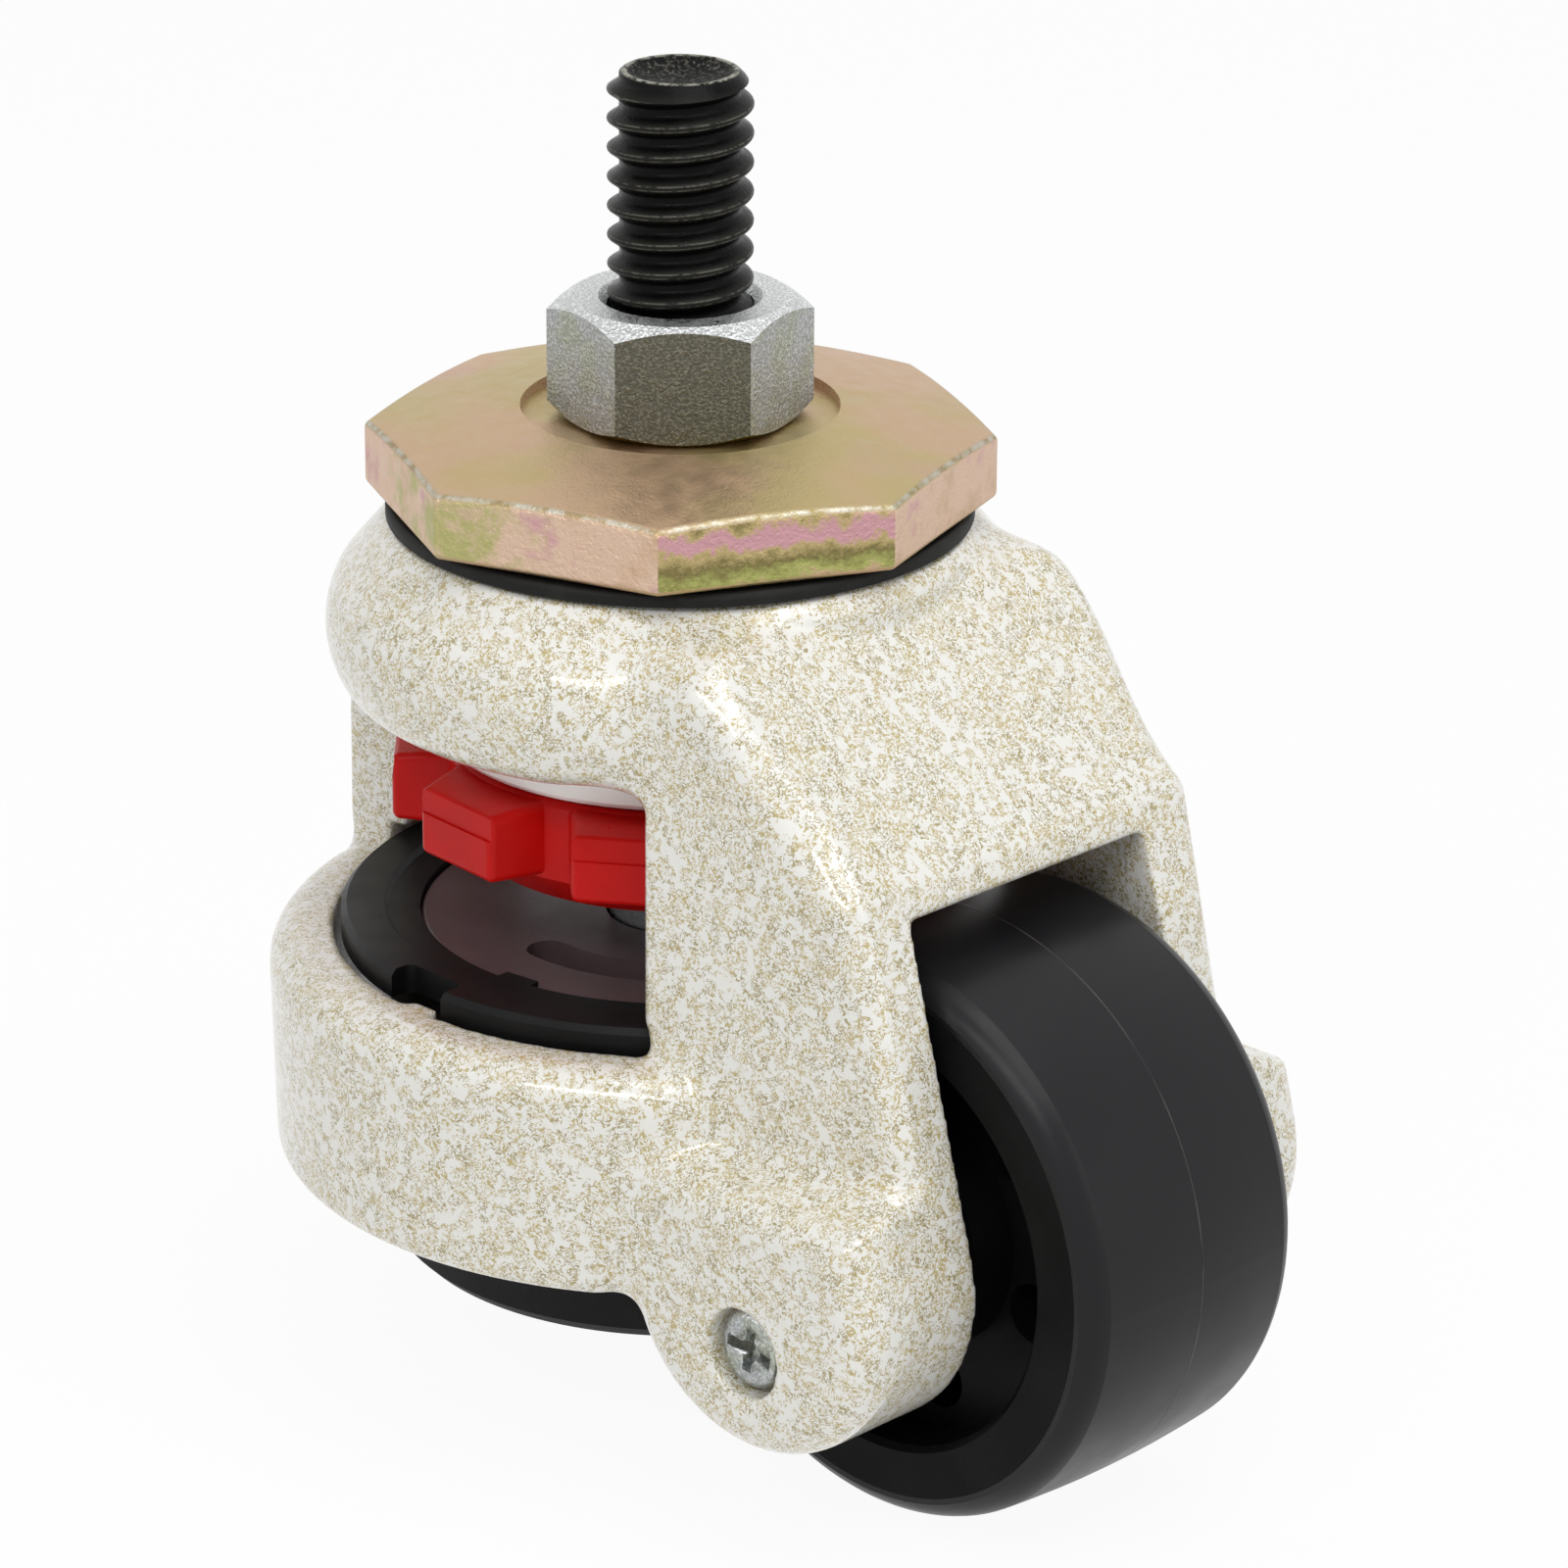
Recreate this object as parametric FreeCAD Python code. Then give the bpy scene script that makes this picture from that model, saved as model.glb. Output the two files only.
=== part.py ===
import FreeCAD, Part
import math
import os

V = FreeCAD.Vector
Z_AXIS = V(0, 0, 1)
Y_AXIS = V(0, 1, 0)

# Levelling castor, in millimetres.
# The origin is the centre of the lock nut's top face, where the machine's foot rests.
# +Z is up the stud, the wheel lies towards +X and its axle runs along Y.

# Clearances
fit_gap = 0.02            # pieces that are pressed or glued together
slip_gap = 0.06           # threads, bores and shafts that slide on each other
running_gap = 0.3         # faces that pass each other without touching
ball_gap = 0.15           # between a ball and its groove

# Shared by small turned and moulded pieces
edge_break = 0.5          # chamfer or rounding of their outer edges
arc_share = 0.3           # an arc's middle point lies this share of the radius inside the corner

# King bolt: the black stud above, the round head inside the housing
stud_radius = 6.0
stud_rise = 19.0
stud_chamfer = 1.0
stud_dish_radius = 4.4
stud_dish_floor = 2.6     # radius of the dish's flat floor
stud_dish_depth = 0.7
stud_neck_width = 0.7     # relief at the nut's countersink, where the free thread begins
stud_neck_depth = 0.4
king_head_radius = 13.4
king_head_height = 3.2

# Lock nut
nut_across_flats = 19.0
nut_height = 10.2
nut_face_radius = 8.9
nut_chamfer_angle = 30.0
nut_countersink = 0.7
nut_turn = -13.3

# Octagonal swivel plate with a low domed top
plate_across_flats = 48.4
plate_edge_height = 5.5
plate_dome_radius = 120.0
plate_turn = -3.4
plate_roll_edge = 0.7
recess_radius = 13.2
recess_depth = 0.85

# Swivel bearing
upper_ball_radius = 2.0
upper_ball_circle = 16.0
upper_ball_count = 16
lower_ball_radius = 1.6
lower_ball_circle = 10.6
lower_ball_count = 12
groove_share = 0.66       # how far a race face stands from the ball centre, in ball radii
race_thickness = 2.0
upper_race_inner = 12.4
upper_race_outer = 19.6
lower_race_inner = 8.9
king_sleeve_wall = 2.2
web_thickness = 3.9

# Dust seal under the plate
seal_inner = 20.7
seal_outer = 24.4
seal_height = 1.1

# Housing collar, the bulged upper ring
collar_height = 15.1
collar_top_radius = 22.9
collar_lip_reach = 2.2    # rounded edge between the top and the collar's slope
collar_lip_fall = 1.2
collar_lip_mid_reach = 1.3
collar_lip_mid_fall = 0.35
collar_slope_radius = 28.3
collar_slope_drop = 5.0
collar_bulge_radius = 29.5
collar_bulge_drop = 8.8
collar_rim_radius = 28.4
collar_rim_round = 3.0    # the casting curls in towards the knob
collar_rim_lean = 30.0    # lean of the bulge where the curl starts
collar_seat_radius = 25.3 # of the seal's seat, where it stands out of the roof
cup_radius = 20.5
head_room_radius = 14.2

# Housing roof and legs
roof_drop = 1.4           # roof flat below the collar's top
roof_length = 22.8        # from the swivel axis to the start of the slope
roof_slope = 46.2
front_corner_x = 39.3
side_half_width = 22.7    # at the pillar
side_taper = 7.0
roof_edge_round = 6.0     # rounding of the side edges: along the roof,
bend_edge_round = 4.1     # where the bend ends,
slope_edge_round = 2.7    # at the foot of the slope
leg_edge_round = 2.2      # and down the legs
roof_bend_radius = 6.0    # bend from the roof into the slope
front_bend_radius = 2.5   # bend from the slope into the legs' front
leg_gap = 27.5            # between the inner faces of the legs
opening_roof_drop = 21.5  # front edge of the wheel opening below the collar's top
opening_lip = 3.0         # level strip behind that edge
pocket_rear_x = 2.0       # the wheel's space runs into the pad's bore

# Housing lower ring and bosses
window_height = 21.5
window_front_x = 18.65
window_round = 1.3
cavity_radius = 27.3
ring_height = 19.7
ring_radius = 34.8
ring_shoulder = 3.2
ring_foot_round = 1.4
ring_draft = 0.35
bore_play = 0.6           # between the pad's rim and the ring's bore
bore_step = 2.5           # bore reaches this far above the ring's top
boss_radius = 13.8
boss_back = 0.5           # centre of the leg's round end behind the axle
boss_drop = 0.9           # and below it
boss_half_width = 27.2
boss_round = 3.2
boss_heel_round = 3.5
boss_rear_x = 4.0         # the bosses start inside the ring
shelf_inner_y = 20.0
shelf_drop = 5.1          # shelf line below the ring's top
shelf_fall = 2.4          # fall of the shelf towards its outer edge
post_half_width = 7.4
post_slope_top = 1.5      # top of the rear post below the collar's top
post_slope_height = 11.0
post_top_radius = 27.6
post_root = 3.0           # the post starts this far inside the collar
post_inset = 0.3          # post inside the ring's outside, at the end of its slope
post_foot_inset = 0.1     # and at the ring's shoulder
post_round = 1.2
key_offset = 1.0          # middle of the key from the plane across the wheel
key_half_width = 1.5
key_reach = 1.2

# Thrust washer between the housing and the knob
washer_outer = 20.5
washer_height = 4.0
washer_lip = 1.3
spigot_outer = 17.0
spigot_inner = 14.4
spigot_height = 1.9

# Adjusting knob and its screw
lobe_count = 9
lobe_outer_radius = 24.45
lobe_half_angle = 10.9
lobe_root_half_angle = 19.5
lobe_root_depth = 1.5     # lobes start this far inside the hub
lobe_top_fall = 0.9
lobe_height = 6.7
lobe_round = 0.7
lobe_parting_drop = 3.0   # mould parting, below the knob's top
lobe_parting_step = 0.2
knob_turn = -94.7
knob_hub_radius = 20.1
knob_height = 9.6
knob_foot_radius = 17.6
knob_foot_height = 2.7
knob_neck_radius = 11.2
screw_radius = 6.0
screw_hex_flats = 16.0
screw_hex_height = 6.0
screw_end_drop = 29.6     # end of the screw below the knob
screw_lead = 1.0          # chamfer at that end
ring_groove_depth = 0.7
snap_ring_outer = 13.2
snap_ring_height = 0.7
snap_ring_gap = 3.0

# Levelling pad
pad_rim_radius = 28.7
pad_rim_height = 2.45
pad_rim_rise = 1.8        # rim stands this far above the ring's top
pad_rim_root = 1.0        # chamfer between the rim and the skirt
pad_rim_inner = 22.0
pad_rim_step_radius = 24.6
pad_rim_step_depth = 0.45
pad_plate_step = 0.9      # plate lies this far below the rim's top
pad_plate_height = 2.4
pad_body_radius = 24.6
pad_body_height = 24.25
pad_sole_height = 5.55
pad_sole_chamfer = 1.0
pad_slot_x = 8.8
pad_slot_half_width = 13.2
notch_width = 6.4
notch_offset = 2.0        # middle of the notch from the side key
notch_reach = 2.6
notch_round = 0.8
lug_radius = 20.9
lug_turn = 7.0            # middle of the lug from the side key
lug_half_angle = 4.5
kidney_radius = 14.5
kidney_width = 3.7
kidney_start = 86.5
kidney_end = 145.0
kidney_depth = 7.0
sleeve_wall = 1.5
sleeve_flange_radius = 8.6
sleeve_flange_height = 1.6
sole_groove_radii = (12.5, 19.0)
sole_groove_width = 1.6
sole_groove_depth = 0.9

# Wheel
axle_x = 34.5
axle_drop = 50.85         # wheel axis below the collar's top
wheel_radius = 25.0
wheel_width = 24.8
tread_shoulder_radius = 24.55
tread_shoulder_bulge = 0.35
tread_shoulder_fall = 0.75
tread_flat_half = 10.4
tyre_side_band = 0.5
rim_radius = 22.4
rim_recess_radius = 18.0
web_half_thickness = 7.0
web_hole_radius = 2.6
web_hole_circle = 13.9
web_hole_count = 6
web_hole_turn = -18.0
wheel_hub_radius = 10.9
wheel_hub_half_length = 11.4
bearing_outer = 9.5
bearing_width = 6.0
bearing_inset = 0.2       # bearings lie this far inside the hub's ends
bearing_inner_ring = 5.6
bearing_shoulder = 8.0    # bore of the core between the bearings
axle_radius = 4.0
axle_seat_depth = 5.75
leg_washer_radius = 5.5

# Axle retaining screws, one below each end of the axle
lock_screw_radius = 1.5
lock_screw_head_radius = 3.35
lock_screw_head_height = 1.7
lock_screw_head_round = 0.8
lock_screw_sink = 1.0     # head lies this far below the boss face
lock_screw_bore = 3.8
lock_screw_tip_gap = 0.7  # the tip ends this far outside the leg's inner face

# Levels worked out from the sizes above
nut_bottom = -nut_height
recess_rim_fall = plate_dome_radius - math.sqrt(plate_dome_radius ** 2 - recess_radius ** 2)
dome_top = nut_bottom + recess_depth + recess_rim_fall
plate_corner_radius = plate_across_flats / 2 / math.cos(math.radians(22.5))
plate_corner_fall = plate_dome_radius - math.sqrt(plate_dome_radius ** 2 - plate_corner_radius ** 2)
plate_bottom = dome_top - plate_corner_fall - plate_edge_height
collar_top = plate_bottom - running_gap - seal_height
collar_bottom = collar_top - collar_height
ring_top = collar_bottom - window_height
ring_bottom = ring_top - ring_height
bore_top = ring_top + bore_step
bore_radius = pad_rim_radius + bore_play
axle_z = collar_top - axle_drop
upper_ball_z = plate_bottom - race_thickness - groove_share * upper_ball_radius
cup_bottom = upper_ball_z - groove_share * upper_ball_radius - race_thickness
web_bottom = cup_bottom - web_thickness
lower_ball_z = web_bottom - race_thickness - groove_share * lower_ball_radius
king_head_top = lower_ball_z - groove_share * lower_ball_radius
king_head_bottom = king_head_top - king_head_height
washer_bottom = collar_bottom - washer_height
knob_top = washer_bottom - running_gap
knob_bottom = knob_top - knob_height
neck_top = king_head_bottom - running_gap
snap_ring_bottom = washer_bottom + washer_lip + running_gap
pad_rim_top = ring_top + pad_rim_rise
pad_plate_top = pad_rim_top - pad_plate_step
pad_plate_bottom = pad_plate_top - pad_plate_height
pad_body_bottom = pad_rim_top - pad_body_height
pad_sole_bottom = pad_body_bottom - pad_sole_height
leg_inner = leg_gap / 2
bearing_out = wheel_hub_half_length - bearing_inset
bearing_in = bearing_out - bearing_width
lock_screw_z = axle_z - axle_radius - lock_screw_radius - slip_gap
roof_z = collar_top - roof_drop
slope_fall = math.tan(math.radians(roof_slope))
front_corner_z = roof_z - (front_corner_x - roof_length) * slope_fall
side_fall = math.tan(math.radians(side_taper))
boss_x = axle_x - boss_back
boss_z = axle_z - boss_drop
far_x = axle_x + boss_radius + 5                       # beyond the legs
deep_z = ring_bottom - boss_radius - 50                # below everything


def cylinder(radius, bottom, top, x=0.0, y=0.0):
    """Upright cylinder between two levels."""
    return Part.makeCylinder(radius, top - bottom, V(x, y, bottom), Z_AXIS)


def tube(outer, inner, bottom, top):
    """Upright tube between two levels."""
    return cylinder(outer, bottom, top).cut(cylinder(inner, bottom - 1, top + 1))


def rod_y(radius, y0, y1, x=None, z=None):
    """Cylinder along Y, on the wheel axis unless a place is given."""
    x = axle_x if x is None else x
    z = axle_z if z is None else z
    return Part.makeCylinder(radius, y1 - y0, V(x, y0, z), Y_AXIS)


def box(x0, x1, y0, y1, z0, z1):
    """Box between two corners."""
    return Part.makeBox(x1 - x0, y1 - y0, z1 - z0, V(x0, y0, z0))


def outline(points):
    """Closed wire through points; a triple (point, 'arc', point) marks a three-point arc."""
    edges = []
    start = points[0]
    here = start
    k = 1
    while k < len(points):
        if points[k] == "arc":
            edges.append(Part.Arc(here, points[k + 1], points[k + 2]).toShape())
            here = points[k + 2]
            k += 3
        else:
            edges.append(Part.makeLine(here, points[k]))
            here = points[k]
            k += 1
    if here.distanceToPoint(start) > 1e-7:
        edges.append(Part.makeLine(here, start))
    return Part.Wire(edges)


def turned(points):
    """Solid of revolution about the swivel axis from (radius, level) points."""
    path = [p if p == "arc" else V(p[0], 0, p[1]) for p in points]
    return Part.Face(outline(path)).revolve(V(0, 0, 0), Z_AXIS, 360)


def turned_y(points):
    """Solid of revolution about the wheel axis from (radius, y) points."""
    path = [p if p == "arc" else V(axle_x + p[0], p[1], axle_z) for p in points]
    return Part.Face(outline(path)).revolve(V(axle_x, 0, axle_z), Y_AXIS, 360)


def side_prism(points, half_width):
    """Prism of an XZ outline, centred on the plane of symmetry."""
    path = [p if p == "arc" else V(p[0], -half_width, p[1]) for p in points]
    return Part.Face(outline(path)).extrude(V(0, 2 * half_width, 0))


def regular_prism(flats, count, turn, bottom, top):
    """Upright prism with a regular outline of the given width across flats."""
    radius = flats / 2 / math.cos(math.pi / count)
    path = []
    for k in range(count):
        angle = math.radians(turn) + 2 * math.pi * k / count
        path.append(V(radius * math.cos(angle), radius * math.sin(angle), bottom))
    return Part.Face(outline(path)).extrude(V(0, 0, top - bottom))


def ball_row(radius, circle, count, level):
    """Row of separate balls on a circle about the swivel axis."""
    balls = []
    for k in range(count):
        angle = 2 * math.pi * k / count
        balls.append(Part.makeSphere(radius, V(circle * math.cos(angle), circle * math.sin(angle), level)))
    return Part.makeCompound(balls)


def groove(radius, circle, level):
    """Ring-shaped tool that cuts a ball groove."""
    return Part.makeTorus(circle, radius + ball_gap, V(0, 0, level), Z_AXIS)


def fillet_where(shape, radius, wanted):
    """Round every edge whose middle point is accepted by the test."""
    edges = []
    for edge in shape.Edges:
        middle = edge.valueAt((edge.FirstParameter + edge.LastParameter) / 2)
        if wanted(edge, middle):
            edges.append(edge)
    return shape.makeFillet(radius, edges)


def graded_fillet(shape, radius_at, wanted):
    """Round chains of edges that run along X with a radius that changes from point to point."""
    document = FreeCAD.newDocument("rounding")
    base = document.addObject("Part::Feature", "base")
    base.Shape = shape
    rounding = document.addObject("Part::Fillet", "rounding")
    rounding.Base = base
    graded = []
    forward = {}
    for number, edge in enumerate(shape.Edges, start=1):
        first = edge.valueAt(edge.FirstParameter)
        last = edge.valueAt(edge.LastParameter)
        middle = edge.valueAt((edge.FirstParameter + edge.LastParameter) / 2)
        if wanted(edge, middle):
            # the first edge of a chain sets the direction in which the radius changes
            side = middle.y > 0
            if side not in forward:
                forward[side] = last.x > first.x
            rear, front = sorted((first, last), key=lambda point: point.x)
            ends = (rear, front) if forward[side] else (front, rear)
            graded.append((number, radius_at(ends[0]), radius_at(ends[1])))
    rounding.Edges = graded
    document.recompute()
    result = rounding.Shape.copy()
    FreeCAD.closeDocument(document.Name)
    return result


def bend(before, corner, after, radius):
    """Start, middle and end of the arc that rounds a corner of an XZ outline."""
    to_before = (V(before[0], 0, before[1]) - V(corner[0], 0, corner[1])).normalize()
    to_after = (V(after[0], 0, after[1]) - V(corner[0], 0, corner[1])).normalize()
    half = to_before.getAngle(to_after) / 2
    inward = (to_before + to_after).normalize()
    start = V(corner[0], 0, corner[1]) + to_before * (radius / math.tan(half))
    middle = V(corner[0], 0, corner[1]) + inward * (radius / math.sin(half) - radius)
    end = V(corner[0], 0, corner[1]) + to_after * (radius / math.tan(half))
    return [(start.x, start.z), "arc", (middle.x, middle.z), (end.x, end.z)]


def on_both_sides(tool):
    """A tool on the +Y side and its copy half a turn on."""
    copy = tool.copy()
    copy.rotate(V(0, 0, 0), Z_AXIS, 180)
    return [tool, copy]


def threaded_stud():
    """King bolt: stud above the nut, round head below the bearing."""
    top = stud_rise
    body = turned([
        (0, top - stud_dish_depth),
        (stud_dish_floor, top - stud_dish_depth),
        (stud_dish_radius, top),
        (stud_radius - stud_chamfer, top),
        (stud_radius, top - stud_chamfer),
        (stud_radius, 0),
        (stud_radius - stud_neck_depth, 0),
        (stud_radius - stud_neck_depth, -stud_neck_width),
        (stud_radius, -stud_neck_width),
        (stud_radius, king_head_top),
        (king_head_radius - edge_break, king_head_top),
        (king_head_radius, king_head_top - edge_break),
        (king_head_radius, king_head_bottom + edge_break),
        (king_head_radius - edge_break, king_head_bottom),
        (0, king_head_bottom),
    ])
    return body.cut(groove(lower_ball_radius, lower_ball_circle, lower_ball_z))


def lock_nut():
    """Hexagon nut, chamfered at both ends and countersunk at the top."""
    body = regular_prism(nut_across_flats, 6, nut_turn, nut_bottom, 0)
    corner = nut_across_flats / 2 / math.cos(math.pi / 6) + 0.5
    fall = (corner - nut_face_radius) * math.tan(math.radians(nut_chamfer_angle))
    double_cone = turned([
        (0, 0),
        (nut_face_radius, 0),
        (corner, -fall),
        (corner, nut_bottom + fall),
        (nut_face_radius, nut_bottom),
        (0, nut_bottom),
    ])
    bore = stud_radius + slip_gap
    hole = turned([
        (0, 1),
        (bore + nut_countersink + 1, 1),
        (bore, -nut_countersink),
        (bore, nut_bottom - 1),
        (0, nut_bottom - 1),
    ])
    return body.common(double_cone).cut(hole)


def swivel_plate():
    """Octagonal plate with a low dome, a recess for the nut and rolled edges."""
    body = regular_prism(plate_across_flats, 8, plate_turn, plate_bottom, dome_top + 1)
    sphere = Part.makeSphere(plate_dome_radius, V(0, 0, dome_top - plate_dome_radius))
    body = body.common(sphere)

    def outer_edge(edge, middle):
        return math.hypot(middle.x, middle.y) > plate_across_flats / 2 - 0.5
    body = fillet_where(body, plate_roll_edge, outer_edge)
    body = body.cut(cylinder(recess_radius, nut_bottom, dome_top + 1))
    return body.cut(cylinder(stud_radius + slip_gap, plate_bottom - 1, dome_top + 1))


def king_sleeve():
    """Spacer that sets the play of the swivel bearing."""
    return tube(stud_radius + king_sleeve_wall, stud_radius + slip_gap, king_head_top, plate_bottom)


def plate_race():
    """Upper race, fixed under the swivel plate."""
    ring = tube(upper_race_outer, upper_race_inner, plate_bottom - race_thickness, plate_bottom)
    return ring.cut(groove(upper_ball_radius, upper_ball_circle, upper_ball_z))


def housing_race():
    """Upper race that sits in the housing's cup."""
    ring = tube(cup_radius - fit_gap, upper_race_inner, cup_bottom, cup_bottom + race_thickness)
    return ring.cut(groove(upper_ball_radius, upper_ball_circle, upper_ball_z))


def lower_race():
    """Race under the housing's web."""
    ring = tube(head_room_radius - fit_gap, lower_race_inner, web_bottom - race_thickness, web_bottom)
    return ring.cut(groove(lower_ball_radius, lower_ball_circle, lower_ball_z))


def bearing_seal():
    """Black dust seal that lies on the collar's rim."""
    ring = tube(seal_outer, seal_inner, collar_top, collar_top + seal_height)

    def top_outer(edge, middle):
        return middle.z > collar_top + seal_height - 0.1 and math.hypot(middle.x, middle.y) > seal_inner + 1
    return fillet_where(ring, edge_break, top_outer)


def leg_profile():
    """XZ outline of roof, front and round leg end, down to the ring's foot."""
    roof_start = (0, roof_z)
    roof_end = (roof_length, roof_z)
    front_corner = (front_corner_x, front_corner_z)
    dx = front_corner_x - boss_x
    dz = front_corner_z - boss_z
    distance = math.hypot(dx, dz)
    tangent_angle = math.atan2(dz, dx) - math.acos(boss_radius / distance)
    tangent = (boss_x + boss_radius * math.cos(tangent_angle), boss_z + boss_radius * math.sin(tangent_angle))
    # the heel fillet touches the ring's foot and the round leg end
    heel_z = ring_bottom - boss_heel_round
    reach = math.sqrt((boss_radius + boss_heel_round) ** 2 - (heel_z - boss_z) ** 2)
    heel_x = boss_x - reach
    share = boss_radius / (boss_radius + boss_heel_round)
    touch = (boss_x + (heel_x - boss_x) * share, boss_z + (heel_z - boss_z) * share)
    heel_mid_angle = (math.pi / 2 + math.atan2(touch[1] - heel_z, touch[0] - heel_x)) / 2
    heel_mid = (heel_x + boss_heel_round * math.cos(heel_mid_angle),
                heel_z + boss_heel_round * math.sin(heel_mid_angle))
    low = (boss_x, boss_z - boss_radius)
    return [
        roof_start,
        *bend(roof_start, roof_end, front_corner, roof_bend_radius),
        *bend(roof_end, front_corner, tangent, front_bend_radius),
        tangent,
        "arc", low, touch,
        "arc", heel_mid, (heel_x, ring_bottom),
        (0, ring_bottom),
    ]


def side_y(x):
    """Half width of roof and legs, which narrow towards the front."""
    return side_half_width - side_fall * (x - window_front_x)


def upper_block():
    """Roof and legs between the tapered side faces, with rounded edges."""
    block = side_prism(leg_profile(), 2 * side_half_width)
    plan = outline([
        V(0, side_y(0), deep_z),
        V(far_x, side_y(far_x), deep_z),
        V(far_x, -side_y(far_x), deep_z),
        V(0, -side_y(0), deep_z),
    ])
    block = block.common(Part.Face(plan).extrude(V(0, 0, -deep_z)))

    def side_edge(edge, middle):
        on_side = abs(abs(middle.y) - side_y(middle.x)) < 0.05
        return on_side and middle.x > 1 and middle.z > ring_bottom + 1

    def radius_at(point):
        if point.x < roof_length:
            return roof_edge_round
        if point.z > front_corner_z + roof_bend_radius:
            return bend_edge_round
        if point.z > front_corner_z:
            return slope_edge_round
        return leg_edge_round
    return graded_fillet(block, radius_at, side_edge)


def boss_block():
    """Lower part of the legs, wider than the roof, with a sloping shelf on each side."""
    block = side_prism(leg_profile(), boss_half_width)
    shelf = ring_top - shelf_drop
    section = outline([
        V(boss_rear_x, -boss_half_width - 1, shelf - shelf_fall),
        V(boss_rear_x, -shelf_inner_y, shelf),
        V(boss_rear_x, shelf_inner_y, shelf),
        V(boss_rear_x, boss_half_width + 1, shelf - shelf_fall),
        V(boss_rear_x, boss_half_width + 1, deep_z),
        V(boss_rear_x, -boss_half_width - 1, deep_z),
    ])
    block = block.common(Part.Face(section).extrude(V(far_x, 0, 0)))

    def outer_edge(edge, middle):
        return abs(middle.y) > boss_half_width - 0.05 and middle.x > boss_rear_x + 1
    return fillet_where(block, boss_round, outer_edge)


def collar():
    """Bulged upper ring, cut off where the roof slopes down in front of it."""
    start = math.radians(collar_rim_lean)
    middle = (start + math.pi / 2) / 2
    curl_x = collar_rim_radius - collar_rim_round * math.cos(start)
    curl_z = collar_bottom + collar_rim_round
    ring = turned([
        (0, collar_top),
        (collar_top_radius, collar_top),
        "arc", (collar_top_radius + collar_lip_mid_reach, collar_top - collar_lip_mid_fall),
        (collar_top_radius + collar_lip_reach, collar_top - collar_lip_fall),
        (collar_slope_radius, collar_top - collar_slope_drop),
        "arc", (collar_bulge_radius, collar_top - collar_bulge_drop),
        (collar_rim_radius, curl_z - collar_rim_round * math.sin(start)),
        "arc", (curl_x + collar_rim_round * math.cos(middle), curl_z - collar_rim_round * math.sin(middle)),
        (curl_x, collar_bottom),
        (0, collar_bottom),
    ])
    front = side_prism([
        (roof_length - roof_bend_radius, 0),
        (roof_length - roof_bend_radius, roof_z),
        *bend((0, roof_z), (roof_length, roof_z), (front_corner_x, front_corner_z), roof_bend_radius),
        (front_corner_x, front_corner_z),
        (far_x, front_corner_z),
        (far_x, 0),
    ], 2 * side_half_width)
    seat = turned([
        (0, collar_top),
        (collar_seat_radius, collar_top),
        (collar_seat_radius, front_corner_z),
        (0, front_corner_z),
    ])
    return ring.cut(front.cut(seat))


def lower_ring():
    """Thick lower ring around the pad, before its bore is cut."""
    foot = ring_radius - ring_draft
    return turned([
        (0, ring_top),
        (ring_radius - ring_shoulder, ring_top),
        "arc", (ring_radius - arc_share * ring_shoulder, ring_top - arc_share * ring_shoulder),
        (ring_radius, ring_top - ring_shoulder),
        (foot, ring_bottom + ring_foot_round),
        "arc", (foot - arc_share * ring_foot_round, ring_bottom + arc_share * ring_foot_round),
        (foot - ring_foot_round, ring_bottom),
        (0, ring_bottom),
    ])


def rear_post():
    """Post at the back that ties the ring to the collar."""
    top = collar_top - post_slope_top
    web = turned([
        (post_top_radius - post_root, top),
        (post_top_radius, top),
        (ring_radius - post_inset, top - post_slope_height),
        (ring_radius - post_foot_inset, ring_top - ring_shoulder),
        (post_top_radius - post_root, ring_top - ring_shoulder),
    ])
    web = web.common(box(-2 * ring_radius, 0, -post_half_width, post_half_width, deep_z, 0))

    def long_outer(edge, middle):
        return math.hypot(middle.x, middle.y) > post_top_radius + 1 and abs(middle.y) > post_half_width - 0.1
    return fillet_where(web, post_round, long_outer)


def wheel_pocket():
    """Space between the legs, open at the front and below."""
    lip_z = collar_top - opening_roof_drop
    lip_x = axle_x + opening_lip
    return side_prism([
        (far_x, lip_z),
        (lip_x, lip_z),
        (lip_x - (collar_bottom - lip_z) / slope_fall, collar_bottom),
        (pocket_rear_x, collar_bottom),
        (pocket_rear_x, deep_z),
        (far_x, deep_z),
    ], leg_inner)


def window(side):
    """Side window through which the knob is turned."""
    reach = 2 * ring_radius
    tool = box(-reach, window_front_x, 0, reach, ring_top, collar_bottom)

    def front_corner(edge, middle):
        return middle.x > window_front_x - 0.01 and abs(middle.y - reach / 2) < 1
    tool = fillet_where(tool, window_round, front_corner)
    tool = tool.cut(box(-reach - 1, 0, -1, post_half_width, deep_z, 0))
    if side < 0:
        tool = tool.mirror(V(0, 0, 0), Y_AXIS)
    return tool


def axle_seat(side):
    """Blind slot in the inner face of a leg, open below, that takes the end of the axle."""
    radius = axle_radius + fit_gap
    y0 = leg_inner - 1 if side > 0 else -leg_inner - axle_seat_depth
    y1 = leg_inner + axle_seat_depth if side > 0 else -leg_inner + 1
    seat = rod_y(radius, y0, y1)
    return seat.fuse(box(axle_x - radius, axle_x + radius, y0, y1, axle_z - boss_radius - 1, axle_z))


def lock_screw_hole(side):
    """Counterbored hole for an axle retaining screw."""
    face = boss_half_width * side
    seat = (boss_half_width - lock_screw_sink - lock_screw_head_height) * side
    tip = (leg_inner + lock_screw_tip_gap - running_gap) * side
    y_low, y_high = sorted((seat, face + side))
    head = rod_y(lock_screw_bore, y_low, y_high, z=lock_screw_z)
    y_low, y_high = sorted((seat, tip))
    return head.fuse(rod_y(lock_screw_radius + fit_gap, y_low, y_high, z=lock_screw_z))


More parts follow.
